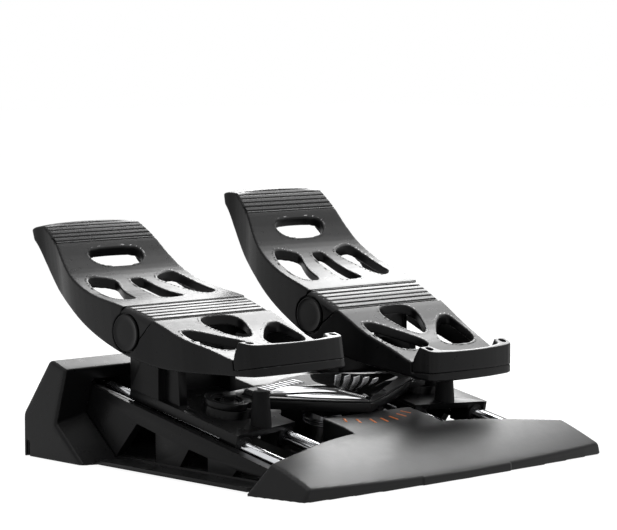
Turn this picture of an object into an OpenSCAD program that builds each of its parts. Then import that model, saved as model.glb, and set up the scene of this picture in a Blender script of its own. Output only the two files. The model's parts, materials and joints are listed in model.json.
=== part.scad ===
// Flight rudder pedals: a floor base with an inclined rail deck, two foot pedals on carriages that
// slide in opposite directions through a rocker, and a toe brake hinge under each pedal.
// Millimetres. +Z is up. The user sits at -Y and looks along +Y. The origin is on the floor, at the
// middle of the overall footprint.

/* [Base] */
// Width across the rear end caps
base_w = 346; // [342:1:352]
// Depth from the bowed front edge to the foot of the rear housing
base_d = 317; // [316:1:320]
// Height of the rail axes above the floor, at the middle of the base
rail_h = 34; // [33.5:0.5:35]
// Slope of the rail deck, in degrees
incline = 11; // [10.5:0.5:11.5]
// Thickness of the moulded walls
wall = 3; // [2.5:0.1:3.2]
// Thickness of a side beam
beam_t = 8; // [6:0.5:8]
// Height of a rubber foot below the floor pan
foot_h = 1.2; // [1:0.1:1.5]

/* [Rails] */
// Diameter of a guide rod
rail_d = 10; // [9:0.5:10]
// Length of a slide bush
bush_len = 18; // [12:1:20]

/* [Carriages] */
// Thickness of the carriage plate
carriage_t = 4.5; // [4:0.5:4.5]
// Height of the carriage's top face above the rail axes
carriage_h = 10.5; // [10.5:0.5:11]
// Position of the pedal axle along the rails
axle_v = 61.8; // [60:0.2:63]
// Height of the pedal axle above the rail axes
axle_w = 59.8; // [58:0.2:61]
// Diameter of the pedal axle
axle_d = 10; // [9:0.5:10]
// Thickness of an axle tower
tower_t = 6; // [5:0.5:8]

/* [Pedals] */
// Width of a pedal over its skirts
pedal_w = 128; // [124:1:129]
// Length of a pedal in plan, toe to heel
pedal_l = 248; // [240:1:250]
// Height of a pedal, heel underside to toe top
pedal_h = 141; // [138:1:144]
// Thickness of the pedal's tread
tread_t = 4.2; // [4:0.1:4.6]
// Thickness of the pedal's side skirts
skirt_t = 4; // [3.6:0.1:4.4]
// Depth of the walls around the openings in the tread
reveal = 12; // [8:0.5:12]
// Diameter of an axle cap
cap_d = 28; // [26:0.5:29]
// How far the left toe brake is pressed in the shown pose, in degrees
left_press = 9.8; // [8:0.1:12]

/* [Rocker] */
// Diameter of a drive roller
roller_d = 14; // [12:0.5:14]
// Diameter of the rocker's pivot post
post_d = 12; // [11:0.5:12]
// Reach of the rocker's nose ahead of its pivot
nose = 50; // [48:1:51]

/* [Hidden] */
$fn = 48;

plastic = "#2a2b2f";
plastic_light = "#3a3b40";
steel = "#c4c6ca";
rubber = "#1b1b1d";

// Clearances: bore on a shaft, seam between fixed pieces, gap between moving pieces
fit_gap = 0.05;
seam_gap = 0.3;
move_gap = 0.8;
// Overrun of a cut past the face it opens
over = 1;

// Width over the side beams, the floor ledges past them, and the places of the rods, the pedals
// and the drive pins from the centre line, all following the width of the base
beam_span = 0.82659 * base_w;
ledge_w = 0.0606936 * base_w;
outer_rail_x = 0.364162 * base_w;
inner_rail_x = 0.210983 * base_w;
pedal_x = 0.277457 * base_w;
pin_x = 0.300578 * base_w;

floor_z = foot_h + wall;
beam_x = beam_span / 2;
beam_in = beam_x - beam_t;
rail_r = rail_d / 2;
// Height of the side beams' top edge above the rail axes
beam_rise = 2.5;
// Ends of the rods, along the rails
rail_front = -0.362776 * base_d;
rail_back = 0.414826 * base_d;
// Reach of the carriage along the rails, ahead of and behind its datum
carriage_back = 74;
carriage_half = 40;
carriage_in = pedal_x - carriage_half;
carriage_out = pedal_x + carriage_half;
tower_out = carriage_out - pedal_x - seam_gap;
// Place of the rocker's pivot along the rails, and heights of its plate above the rail axes
pivot_v = -3;
band_w = 15.3;
arm_w = 17.8;
arm_top_w = 22.3;
shield_top_w = 23.9;
// Place of the front wall and the foot of the rear housing, from the middle of the base
bulkhead_y = 0.394322 * base_d;
bulkhead_t = 5;
foot_y = 0.498423 * base_d;

// Height of the axle above the floor and its place along Y, from the middle of the base
axle_y = axle_v * cos(incline) - axle_w * sin(incline);
axle_z = rail_h + axle_v * sin(incline) + axle_w * cos(incline);
// Place of the rib under the heel, and the carriage's reach ahead, past the stop it lands on
heel_rib_y = -88.04;
stop_r = 8;
stop_room = 5.52923;
carriage_front = stop_room + stop_r
    - (axle_y + heel_rib_y + carriage_h * sin(incline)) / cos(incline);
// The base sits ahead of the overall middle, because the pressed toe overhangs its rear
toe_tip_shares = [0.4879, 0.656];
toe_over = toe_tip_shares[0] * pedal_l * cos(left_press)
    + toe_tip_shares[1] * pedal_h * sin(left_press);
base_y = -(axle_y + toe_over + foot_y - base_d) / 2;

// Side view of a pedal from its axle, as shares of the pedal's length and height
tread_shares = [
    [0.4879, 0.656], [0.4556, 0.6851], [0.4214, 0.6738], [0.3548, 0.5645], [0.3065, 0.4454],
    [0.25, 0.3397], [0.1532, 0.2397], [0.008065, 0.1504], [-0.1105, 0.05674], [-0.2339, -0.06738],
    [-0.3306, -0.1433], [-0.421, -0.2163], [-0.5181, -0.2765]
];
skirt_shares = [
    [0.4778, 0.5957], [0.4585, 0.5504], [0.4315, 0.4574], [0.3992, 0.3617], [0.3569, 0.2695],
    [0.2851, 0.1773], [0.2177, 0.08511], [0.1371, -0.007092], [0.04234, -0.09504],
    [-0.01411, -0.1383], [-0.121, -0.2092], [-0.25, -0.2553], [-0.4073, -0.2979],
    [-0.5181, -0.3262]
];
// Right half of a pedal's plan, as shares of its width and length
plan_shares = [
    [0.3438, 0.4919], [0.3633, 0.4758], [0.3633, 0.4214], [0.3906, 0.3548], [0.4273, 0.3065],
    [0.457, 0.25], [0.4789, 0.1532], [0.4922, 0.008065], [0.4727, -0.1105], [0.4531, -0.2339],
    [0.418, -0.3306], [0.3984, -0.421], [0.3812, -0.4597], [0.3516, -0.4919], [0.2344, -0.5024],
    [0.1172, -0.5069], [0, -0.5081]
];
// Openings of the tread, in the same plan
toe_slot_shares = [
    [0.2109, 0], [0.1719, -0.0355], [0.0625, -0.0452], [-0.0625, -0.0452], [-0.1719, -0.0355],
    [-0.2109, 0], [-0.1719, 0.0355], [-0.0625, 0.0452], [0.0625, 0.0452], [0.1719, 0.0355]
];
side_slot_shares = [
    [0.1641, 0.2016], [0.1953, 0.2319], [0.3594, 0.2359], [0.4141, 0.1815], [0.4219, 0.1089],
    [0.3672, 0.06855], [0.3125, 0.05242], [0.2422, 0.1048], [0.1875, 0.1532]
];
middle_slot_shares = [
    [-0.047, 0.2177], [0.047, 0.2177], [0.09, 0.18], [0.113, 0.121], [0.109, 0.055],
    [0, 0.0444], [-0.109, 0.055], [-0.113, 0.121], [-0.09, 0.18]
];
heel_slot_shares = [
    [-0.125, -0.1371], [0, -0.131], [0.125, -0.1371], [0.1133, -0.1855], [0.07031, -0.2379],
    [0.03906, -0.2661], [0, -0.2722], [-0.03906, -0.2661], [-0.07031, -0.2379], [-0.1133, -0.1855]
];
heel_wing_shares = [
    [0.3672, -0.1976], [0.4023, -0.25], [0.3945, -0.2944], [0.3594, -0.3387], [0.2344, -0.3508],
    [0.09375, -0.3387], [0.07422, -0.3145], [0.1484, -0.2621], [0.2578, -0.2218]
];

function rail_z(y) = rail_h + y * tan(incline);
// Height above the floor of a point w above the rail axes
function deck_z(y, w) = rail_z(y) + w / cos(incline);

// Catmull-Rom curve through a list of points, with n steps between two of them
function spline_at(a, b, c, d, t) =
    (2 * b + (c - a) * t + (2 * a - 5 * b + 4 * c - d) * t * t
    + (3 * b - a - 3 * c + d) * t * t * t) / 2;
function smooth(p, n) = concat([
    for (i = [0 : len(p) - 2], k = [0 : n - 1])
        spline_at(p[max(i - 1, 0)], p[i], p[i + 1], p[min(i + 2, len(p) - 1)], k / n)
], [p[len(p) - 1]]);
// The same curve closed into a loop
function smooth_loop(p, n) = [
    for (i = [0 : len(p) - 1], k = [0 : n - 1])
        spline_at(p[(i + len(p) - 1) % len(p)], p[i], p[(i + 1) % len(p)],
            p[(i + 2) % len(p)], k / n)
];

// An open curve, and a loop, moved by d to the left of their own direction
function beside(p, d) = [
    for (i = [0 : len(p) - 1])
        let (t = p[min(i + 1, len(p) - 1)] - p[max(i - 1, 0)])
        p[i] + d * [-t[1], t[0]] / norm(t)
];
// The moved curve q of p without the points where a tight bend turned it back
function unlooped(q, p) = [
    for (i = [0 : len(q) - 1])
        let (a = max(i - 1, 0), b = min(i + 1, len(q) - 1))
        if ((a == i || (q[i] - q[a]) * (p[i] - p[a]) > 0)
            && (b == i || (q[b] - q[i]) * (p[b] - p[i]) > 0)) q[i]
];
function from_point(p, n) = [for (i = [n : len(p) - 1]) p[i]];
function grown(p, d) = [
    for (i = [0 : len(p) - 1])
        let (t = p[(i + 1) % len(p)] - p[(i + len(p) - 1) % len(p)])
        p[i] + d * [-t[1], t[0]] / norm(t)
];

// Points in side view from shares of the depth, and of the rails' height above the rail line
function above_rails(shares) = [
    for (s = shares) [s[0] * base_d, rail_z(s[0] * base_d) + s[1] * rail_h]
];
function reversed(p) = [for (i = [len(p) - 1 : -1 : 0]) p[i]];
function scaled(shares, size) = [for (s = shares) [s[0] * size[0], s[1] * size[1]]];
function flipped(p) = [for (i = [len(p) - 1 : -1 : 0]) [-p[i][0], p[i][1]]];
function both_halves(p) = concat(p, flipped(p));

// Half length of the axle, to the caps that close its bore
cap_t = 2.3;
axle_half = 0.4921875 * pedal_w - cap_t;

pedal_side = [pedal_l, pedal_h];
pedal_top = [pedal_w, pedal_l];
tread_curve = smooth(scaled(tread_shares, pedal_side), 3);
skirt_curve = smooth(scaled(skirt_shares, pedal_side), 2);
plan_half = smooth(scaled(plan_shares, pedal_top), 2);
// The same curves without the toe's rounding, for the forms inside the pedal
tread_main = from_point(tread_curve, 6);
plan_main = from_point(plan_half, 4);
function tread_at(t) = t > 0 ? unlooped(beside(tread_main, t), tread_main) : tread_curve;
function plan_at(s) = s > 0
    ? [for (q = unlooped(beside(plan_main, -s), plan_main)) [max(q[0], 0), q[1]]] : plan_half;

module in_base() {
    translate([0, base_y, 0]) children();
}

// A frame whose Y runs along the rails and whose Z is square to the deck
module on_rails() {
    in_base() translate([0, 0, rail_h]) rotate([incline, 0, 0]) children();
}

module along_x(length) {
    translate([-length / 2, 0, 0]) rotate([90, 0, 90]) linear_extrude(length) children();
}

module rod_x(radius, from, to) {
    translate([from, 0, 0]) rotate([0, 90, 0]) cylinder(r = radius, h = to - from);
}

module rod_y(radius, from, to) {
    translate([0, from, 0]) rotate([-90, 0, 0]) cylinder(r = radius, h = to - from);
}

module box(low, high) {
    translate(low) cube(high - low);
}

// Everything on the side of a plane that its normal points to
module half_space(point, normal) {
    span = 2 * base_w;
    translate(point)
        rotate([0, acos(normal[2] / norm(normal)), atan2(normal[1], normal[0])])
            translate([-span / 2, -span / 2, 0]) cube(span);
}

module both_sides() {
    children();
    mirror([1, 0, 0]) children();
}

// A round wire along a path that never runs parallel to X
module wire(path, radius, sides) {
    rings = [
        for (i = [0 : len(path) - 1])
            let (
                step = path[min(i + 1, len(path) - 1)] - path[max(i - 1, 0)],
                t = step / norm(step),
                cross_t = cross(t, [1, 0, 0]),
                u = cross_t / norm(cross_t),
                v = cross(u, t)
            )
            for (k = [0 : sides - 1])
                path[i] + radius * (u * cos(360 * k / sides) + v * sin(360 * k / sides))
    ];
    last = (len(path) - 1) * sides;
    faces = concat(
        [[for (k = [0 : sides - 1]) k]],
        [for (i = [0 : len(path) - 2], k = [0 : sides - 1])
            [i * sides + k, (i + 1) * sides + k,
                (i + 1) * sides + (k + 1) % sides, i * sides + (k + 1) % sides]],
        [[for (k = [sides - 1 : -1 : 0]) last + k]]
    );
    polyhedron(rings, faces, convexity = 8);
}

// Floor pan with the side beams, the rail bulkhead and the rod supports
module base_tray() {
    pan_shares = [[0, -0.484], [0.35, -0.473], [0.42, -0.466], [0.444, -0.30]];
    ledge_front = -0.293375 * base_d;
    ledge_back = 0.232177 * base_d;
    ledge_notch = 7;
    pan_back = foot_y - wall - seam_gap;
    pan_half = concat(
        [for (s = pan_shares) [s[0] * base_w, s[1] * base_d]],
        [[beam_x + ledge_w, ledge_front], [beam_x + ledge_w, ledge_back + ledge_notch],
        [beam_x, ledge_back], [beam_x, pan_back]]
    );
    beam_front = -0.375394 * base_d;
    beam_end = bulkhead_y + bulkhead_t;
    // Windows of a side beam: three slanted trapezoids, largest at the rear
    window_shares = [
        [[0.102524, 0.161765], [0.252366, 0.161765], [0.173502, 0.970588], [0.104101, 0.823529]],
        [[-0.0851735, 0.161765], [0.0157729, 0.161765], [-0.0173502, 0.588235], [-0.0851735, 0.470588]],
        [[-0.264984, 0.161765], [-0.170347, 0.161765], [-0.18612, 0.308824], [-0.264984, 0.25]]
    ];
    bulkhead_rise = 0.20504;
    bulkhead_top = deck_z(bulkhead_y, rail_r + bulkhead_rise);
    rib_t = 5;
    rib_w = -10;
    rib_front = -0.247634 * base_d;
    post_hole = 3;
    color(plastic) in_base() difference() {
        union() {
            translate([0, 0, foot_h]) linear_extrude(wall) polygon(both_halves(pan_half));
            both_sides() {
                translate([(beam_x + beam_in) / 2, 0, 0]) along_x(beam_t) difference() {
                    polygon([
                        [beam_front, foot_h], [beam_end, foot_h],
                        [beam_end, deck_z(bulkhead_y, beam_rise)],
                        [bulkhead_y, deck_z(bulkhead_y, beam_rise)],
                        [beam_front, deck_z(beam_front, beam_rise)]
                    ]);
                    for (w = window_shares) polygon(scaled(w, [base_d, rail_h]));
                }
                translate([inner_rail_x, 0, 0]) along_x(rib_t) polygon([
                    [rib_front, foot_h], [bulkhead_y + over, foot_h],
                    [bulkhead_y + over, deck_z(bulkhead_y, rib_w)],
                    [rib_front, deck_z(rib_front, rib_w)]
                ]);
            }
            along_x(2 * beam_x - beam_t) polygon([
                [bulkhead_y, foot_h], [beam_end, foot_h], [beam_end, bulkhead_top],
                [bulkhead_y, bulkhead_top + rail_r]
            ]);
        }
        both_sides() for (x = [inner_rail_x, outer_rail_x])
            translate([x, 0, rail_h]) rotate([incline, 0, 0])
                rod_y(rail_r + fit_gap, rail_front, rail_back + fit_gap);
        screw_cuts();
    }
}

// Underside screws that hold the panel and the housing to the pan: places from the base's middle
front_screw_shares = [[-0.346821, -0.403785], [0, -0.422713], [0.346821, -0.403785]];
rear_screw_shares = [-0.381503, -0.144509, 0.144509, 0.381503];
rear_screw_inset = 3.4;
screw_places = concat(scaled(front_screw_shares, [base_w, base_d]),
    [for (x = rear_screw_shares) [x * base_w, foot_y - wall - rear_screw_inset]]);
screw_head_r = 3.2;
screw_r = 1.5;
screw_head_t = 1.4;
screw_len = 9;
screw_boss_r = 4;

module screw_cuts() {
    for (p = screw_places) translate([p[0], p[1], foot_h - over]) {
        cylinder(r = screw_r + fit_gap, h = wall + 2 * over);
        cylinder(r = screw_head_r + seam_gap, h = over + screw_head_t);
    }
}

module base_screws() {
    hex_r = 1.2;
    hex_deep = 0.9;
    color(steel) in_base() for (p = screw_places) translate([p[0], p[1], foot_h]) difference() {
        union() {
            cylinder(r = screw_head_r, h = screw_head_t, $fn = 32);
            cylinder(r = screw_r, h = screw_len, $fn = 24);
        }
        translate([0, 0, -over]) cylinder(r = hex_r, h = hex_deep + over, $fn = 6);
    }
}

// Bosses that take the screws from below
module screw_bosses(rear) {
    for (p = screw_places) if ((p[1] > 0) == rear)
        translate([p[0], p[1], floor_z]) difference() {
            cylinder(r = screw_boss_r, h = rear ? screw_len : axle_z);
            translate([0, 0, -over]) cylinder(r = screw_r + fit_gap, h = screw_len + over);
        }
}

// Hood and end caps over the rear ends of the rails
module rear_housing() {
    knee = 33.5;
    waist_y = 0.37224 * base_d;
    waist_z = 28.5;
    // Front and back of its top, outside and then inside, as heights above the rails
    hood_shares = [[0.329338, 0.526668], [0.391167, 0.611672], [0.350158, 0.453641], [0.387697, 0.515019]];
    hood = above_rails(hood_shares);
    top_front = hood[0];
    top_back = hood[1];
    skin = [hood[2], hood[3], [foot_y - wall, knee - 1]];
    waist = [waist_y, waist_z];
    lip_z = top_front[1] - 9.6;
    cap_front = 0.189274 * base_d;
    cap_in = beam_x + seam_gap;
    // Foot of the sloping front face of a cap
    lean_foot = waist[0] + (waist[0] - top_front[0]) * (waist[1] - foot_h)
        / (top_front[1] - waist[1]);
    // Chamfer at the foot of an end cap
    facet_y = 0.268139 * base_d;
    facet_out = [base_w / 2, facet_y, foot_h];
    facet_normal = [0.3135, -0.855, 0.99];
    slot_y = foot_y - 7;
    slot_w = 3.4;
    slot_z = 13;
    slot_deep = 2;
    color(plastic) in_base() difference() {
        union() {
            difference() {
                union() {
                    along_x(base_w) polygon([
                        [lean_foot, foot_h], [foot_y, foot_h], [foot_y, knee], top_back,
                        top_front
                    ]);
                    difference() {
                        along_x(base_w) polygon([[cap_front, foot_h], [foot_y - wall, foot_h],
                            [foot_y - wall, 1.3 * waist[1]], [cap_front, 1.3 * waist[1]]]);
                        both_sides() half_space(facet_out, facet_normal);
                    }
                }
                along_x(2 * cap_in) polygon([
                    [cap_front - over, -over], [foot_y - wall, -over], skin[2], skin[1], skin[0],
                    [skin[0][0], lip_z], [cap_front - over, lip_z]
                ]);
            }
            intersection() {
                screw_bosses(true);
                along_x(base_w) polygon([[cap_front, 0], [foot_y, 0], [foot_y, knee],
                    [cap_front, knee]]);
            }
        }
        both_sides() translate([base_w / 2 - slot_deep, slot_y, foot_h - over])
            cube([slot_deep + over, slot_w, slot_z]);
        gland_cut();
    }
}

gland_z = 15;
gland_r = 5;
module gland_cut() {
    translate([0, 0, gland_z]) rod_y(gland_r + fit_gap, foot_y - wall - over, foot_y + over);
}

// Strain relief sleeve in the rear wall
module cable_gland() {
    flange_r = 8;
    flange_t = 1.6;
    sleeve = 9;
    bore_r = 2.6;
    ring_gap = 3;
    ring_deep = 1;
    color(rubber) in_base() translate([0, 0, gland_z]) difference() {
        union() {
            rod_y(gland_r, foot_y - wall - flange_t, foot_y + sleeve);
            rod_y(flange_r, foot_y - wall - flange_t, foot_y - wall);
            rod_y(flange_r - ring_deep, foot_y, foot_y + flange_t);
        }
        rod_y(bore_r, foot_y - wall - flange_t - over, foot_y + sleeve + over);
        for (k = [1, 2]) translate([0, foot_y + k * ring_gap + ring_deep / 2, 0])
            rotate([-90, 0, 0]) difference() {
                cylinder(r = gland_r + over, h = ring_deep);
                translate([0, 0, -over]) cylinder(r = gland_r - ring_deep, h = ring_deep + 2 * over);
            }
    }
}

// Wing-shaped cover over the front ends of the rails, with a tongue under the rocker
front_curve_shares = [
    [-0.501577, 0.0707785], [-0.480757, 0.141869], [-0.416404, 0.266418], [-0.355836, 0.350768],
    [-0.309148, 0.392626], [-0.26183, 0.403928], [-0.217666, 0.426831], [-0.157729, 0.42703]];
module panel_profile(d) {
    top = beside(smooth(above_rails(front_curve_shares), 3), d);
    polygon(concat([[top[0][0], foot_h - over]], top,
        [[top[len(top) - 1][0], foot_h - over]]));
}

// A point of the base given as shares of its width and depth, and of the height above the rails
function in_size(s) = [s[0] * base_w, s[1] * base_d, rail_z(s[1] * base_d) + s[2] * rail_h];

// The panel's outer form, grown or shrunk by d
module panel_form(d) {
    tongue_w = 0.136994 * base_w;
    tongue_back = -0.157729 * base_d;
    side_out = in_size([0.45578, -0.480757, 0.115399]);
    side_normal = [1, -0.2017, 0.4858];
    wing_back = in_size([0.457803, -0.355836, 0.330179]);
    wing_normal = [374, 1024, 785.7];
    mid_back = in_size([0.179191, -0.269716, 0.371162]);
    mid_normal = [0.1, 1, 0.45];
    inner = norm(side_normal);
    half_w = base_w / 2 + ledge_w;
    intersection() {
        along_x(2 * half_w) panel_profile(d);
        translate([0, 0, -over]) linear_extrude(axle_z) union() {
            polygon(both_halves([[0, -base_d / 2 - d], [0.1 * base_w, -0.4975 * base_d - d],
                [0.2 * base_w, -0.4945 * base_d - d], [0.3 * base_w, -0.4895 * base_d - d],
                [0.4 * base_w, -0.483 * base_d - d], [0.458 * base_w, -0.4775 * base_d - d],
                [0.468 * base_w, -0.473 * base_d - d], [half_w, -0.42 * base_d - d],
                [half_w, -base_d / 4]]));
            polygon(both_halves([[0, -base_d / 3], [tongue_w + d, -base_d / 3],
                [tongue_w + d, tongue_back + d], [0, tongue_back + d]]));
        }
        difference() {
            box([-half_w, -base_d, foot_h - 2 * over], [half_w, 0, axle_z]);
            both_sides() {
                half_space(side_out + d * side_normal / inner, side_normal);
                difference() {
                    union() {
                        half_space(wing_back + d * wing_normal / norm(wing_normal), wing_normal);
                        half_space(mid_back + d * mid_normal / norm(mid_normal), mid_normal);
                    }
                    box([-tongue_w - d, -base_d, -base_w], [tongue_w + d, base_d, base_w]);
                }
            }
        }
    }
}

module front_panel() {
    color(plastic) in_base() difference() {
        union() {
            difference() {
                intersection() {
                    panel_form(0);
                    box([-base_w, -base_w, foot_h], [base_w, base_w, base_w]);
                }
                panel_form(-wall);
                // Clearance for the rods, the beams and the floor ledge at the rear edge
                both_sides() {
                    box([beam_in - seam_gap, -base_d / 3, 0],
                        [beam_x + seam_gap, 0, deck_z(-base_d / 4, beam_rise)]);
                    box([-over, -base_d / 3, 0], [beam_x + ledge_w + 2 * seam_gap, 0,
                        floor_z + seam_gap]);
                    for (x = [inner_rail_x, outer_rail_x])
                        translate([x, 0, rail_h]) rotate([incline, 0, 0])
                            rod_y(rail_r + 2 * move_gap, rail_front, 0);
                }
            }
            intersection() {
                screw_bosses(false);
                panel_form(-wall / 2);
            }
        }
    }
}

// Cover over the circuit board, between the two carriages
module electronics_cover() {
    front = 0.104101 * base_d;
    back = bulkhead_y - seam_gap;
    top_x = 0.121387 * base_w;
    side_x = 0.144509 * base_w;
    top_w = 14.3;
    side_w = 6;
    slope = 4;
    section_out = [[side_x, 0], [side_x, side_w], [top_x, top_w], [0, top_w]];
    color(plastic) in_base() difference() {
        cover_form(front, back, section_out, 0);
        cover_form(front + wall, back + over, [for (p = section_out) [max(p[0] - wall, 0),
            max(p[1] - wall, 0)]], wall);
        box([-base_w, top_gap_y(), 0], [base_w, base_w, base_w]);
    }
}

// Rear end of the cover: just ahead of the housing's lip
function top_gap_y() = 0.328076 * base_d - seam_gap;

module cover_form(front, back, section, d) {
    half = both_halves([[section[0][0], -base_w / 2], section[1], section[2]]);
    intersection() {
        translate([0, 0, rail_h]) rotate([incline, 0, 0]) rotate([90, 0, 0])
            linear_extrude(2 * base_w, center = true) polygon(half);
        box([-base_w, front, d > 0 ? 0 : floor_z], [base_w, back, base_w]);
    }
}

module guide_rod(x) {
    bevel = 0.8;
    length = rail_back - rail_front;
    color(steel) on_rails() translate([x, rail_front, 0]) rotate([-90, 0, 0]) {
        cylinder(r1 = rail_r - bevel, r2 = rail_r, h = bevel);
        translate([0, 0, bevel]) cylinder(r = rail_r, h = length - 2 * bevel);
        translate([0, 0, length - bevel]) cylinder(r1 = rail_r, r2 = rail_r - bevel, h = bevel);
    }
}
module left_outer_rail() guide_rod(-outer_rail_x);
module left_inner_rail() guide_rod(-inner_rail_x);
module right_inner_rail() guide_rod(inner_rail_x);
module right_outer_rail() guide_rod(outer_rail_x);

// Blocks that carry the front ends of the rods
module front_rail_clamps() {
    length = 8;
    clamp_gap = 1.5;
    half_block = beam_in - outer_rail_x - clamp_gap;
    cap_w = 2;
    cap_gap = 0.4;
    color(plastic) in_base() both_sides() for (x = [inner_rail_x, outer_rail_x]) difference() {
        intersection() {
            translate([x, 0, rail_h]) rotate([incline, 0, 0])
                box([-half_block, rail_front, -rail_h], [half_block, rail_front + length,
                    rail_r + cap_w]);
            box([0, -base_w, floor_z], [base_w, base_w, base_w]);
        }
        translate([x, 0, rail_h]) rotate([incline, 0, 0]) {
            rod_y(rail_r + fit_gap, rail_front - over, 0);
            box([-cap_gap, rail_front - over, rail_r - over], [cap_gap, 0, base_w]);
        }
    }
}

// Strips screwed behind the bulkhead that hold the rods in place
module rear_rail_clamps() {
    strip_t = 1.6;
    low = 48;
    high = 60.5;
    margin = 7;
    screw_x = (inner_rail_x + outer_rail_x) / 2;
    back = bulkhead_y + bulkhead_t;
    color(steel) in_base() both_sides() difference() {
        union() {
            box([inner_rail_x - margin, back, low], [outer_rail_x + margin, back + strip_t, high]);
            translate([screw_x, 0, (low + high) / 2]) rod_y(strip_t * 2, back, back + 2 * strip_t);
        }
        translate([screw_x, 0, (low + high) / 2]) rotate([90, 0, 0])
            cylinder(r = strip_t, h = 2 * (back + strip_t + over / 2), center = true, $fn = 6);
    }
}

module above_floor() {
    intersection() {
        children();
        in_base() box([-base_w, -base_w, floor_z], [base_w, base_w, base_w]);
    }
}

// Post that the rocker turns on, with its foot on the floor pan
module rocker_post() {
    foot_r = 14;
    foot_w = 2;
    neck_r = 8.5;
    neck_w = 12.3;
    bevel = 0.8;
    top_w = arm_top_w - seam_gap;
    color(steel) above_floor() on_rails() translate([0, pivot_v, 0]) {
        translate([0, 0, -rail_h]) cylinder(r = foot_r, h = rail_h + foot_w);
        translate([0, 0, -rail_h]) cylinder(r = neck_r, h = rail_h + neck_w);
        translate([0, 0, neck_w]) cylinder(r = post_d / 2, h = top_w - bevel - neck_w);
        translate([0, 0, top_w - bevel])
            cylinder(r1 = post_d / 2, r2 = post_d / 2 - bevel, h = bevel);
    }
}

// Angle sensor around the post, below the rocker's hub
module rudder_sensor() {
    low = 2;
    high = 11.8;
    half_x = 15;
    ahead = 14;
    behind = 24;
    plug = 6;
    neck_r = 8.5;
    color(plastic_light) on_rails() translate([0, pivot_v, 0]) difference() {
        union() {
            box([-half_x, -ahead, low], [half_x, behind - plug, high]);
            box([-half_x + plug, behind - plug, low + wall], [half_x - plug, behind, high - wall]);
        }
        translate([0, 0, low - over]) cylinder(r = neck_r + fit_gap, h = high);
    }
}

// Wound spring around the post that brings the rocker back to the middle
module centring_spring() {
    turns = 2;
    wire_r = 1;
    coil_r = 15.3;
    steps = 20;
    low = -8;
    pitch = 3;
    coil = [for (i = [0 : turns * steps])
        [pitch * i / steps, coil_r * cos(360 * i / steps), coil_r * sin(360 * i / steps)]];
    leg = 9;
    path = concat(coil, [[turns * pitch, coil_r, leg]]);
    color(steel) on_rails() translate([0, pivot_v, low]) rotate([0, -90, 0])
        wire(path, wire_r, 8);
}

module circuit_board() {
    board_x = 70;
    board_y = 46;
    board_t = 1.6;
    board = [board_x, board_y, board_t];
    stand = 5;
    stand_r = 2.5;
    place_y = 68;
    chip = [board_x / 5, board_x / 5, board_t];
    jack_x = 16;
    jack = [jack_x, jack_x * 9 / 16, jack_x * 7 / 16];
    margin = 4;
    color("#1f4a33") in_base() translate([0, place_y, floor_z]) {
        translate([-board[0] / 2, -board[1] / 2, stand]) cube(board);
        for (x = [-1, 1], y = [-1, 1])
            translate([x * (board[0] / 2 - margin), y * (board[1] / 2 - margin), 0])
                cylinder(r = stand_r, h = stand + board[2] / 2);
        translate([-chip[0], -chip[1] / 2, stand + board[2] / 2]) cube(chip + [0, 0, chip[2] / 2]);
        for (x = [-1.2, 1]) translate([x * jack[0] - jack[0] / 2, board[1] / 2 - jack[1],
            stand + board[2] / 2]) cube(jack);
    }
}

module rubber_feet() {
    foot_r = 9;
    bevel = 0.3;
    place_shares = [[-0.404624, -0.37224], [0.404624, -0.37224], [-0.421965, 0.189274],
        [0.421965, 0.189274], [-0.34104, 0.44164], [0.34104, 0.44164]];
    color(rubber) in_base() for (p = scaled(place_shares, [base_w, base_d])) translate([p[0], p[1], 0]) {
        cylinder(r1 = foot_r - bevel, r2 = foot_r, h = bevel);
        translate([0, 0, bevel]) cylinder(r = foot_r, h = foot_h - bevel);
    }
}

// Half outline of the rocker in plan, from its pivot: front edge, then rear edge
arm_front_shares = [[0, 0], [0.288462, 0.246], [0.740385, 0.696], [0.923077, 0.71]];
arm_back_shares = [[0.942308, 0.28], [0.769231, 0.3], [0.538462, 0.34], [0.211538, 0.54], [0, 0.58]];
arm_front = [for (s = arm_front_shares) [s[0] * pin_x, s[1] * nose - nose]];
arm_back = scaled(arm_back_shares, [pin_x, nose]);
ring_x = pin_x + 2.2;
ring_r = 17.3;

// Plate that swings on the post and drives both carriages through its slotted ends
module rocker_arm() {
    band_t = 7;
    hub_r = 13;
    hub_bore = 8.5;
    lip_r = 12.2;
    lip_deep = 1.6;
    slot_r = roller_d / 2 + move_gap;
    slot_in = pin_x - 0.8;
    slot_out = pin_x + 5.2;
    color(plastic) on_rails() translate([0, pivot_v, 0]) difference() {
        union() {
            translate([0, 0, arm_w]) linear_extrude(arm_top_w - arm_w)
                polygon(both_halves(concat(arm_front, arm_back)));
            translate([0, 0, band_w]) linear_extrude(arm_top_w - band_w)
                polygon(concat(front_band(0), reversed(front_band(band_t))));
            both_sides() translate([ring_x, 0, arm_w]) cylinder(r = ring_r, h = arm_top_w - arm_w);
            translate([0, 0, band_w - 1.5]) cylinder(r = hub_r, h = arm_top_w - band_w);
        }
        translate([0, 0, -over]) cylinder(r = hub_bore, h = arm_top_w + 2 * over);
        both_sides() {
            translate([ring_x, 0, arm_top_w - lip_deep]) cylinder(r = lip_r, h = lip_deep + over);
            translate([0, 0, arm_w - over]) linear_extrude(arm_top_w) {
                translate([slot_in, 0]) circle(slot_r);
                translate([slot_out, 0]) circle(slot_r);
                translate([slot_in, -slot_r]) square([slot_out - slot_in, 2 * slot_r]);
            }
        }
    }
}

// Front edge of the rocker from left to right, moved back by d
function front_band(d) = concat(
    [for (i = [2 : -1 : 1]) [-arm_front[i][0], arm_front[i][1] + d]],
    [for (i = [0 : 2]) [arm_front[i][0], arm_front[i][1] + d]]
);

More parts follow.
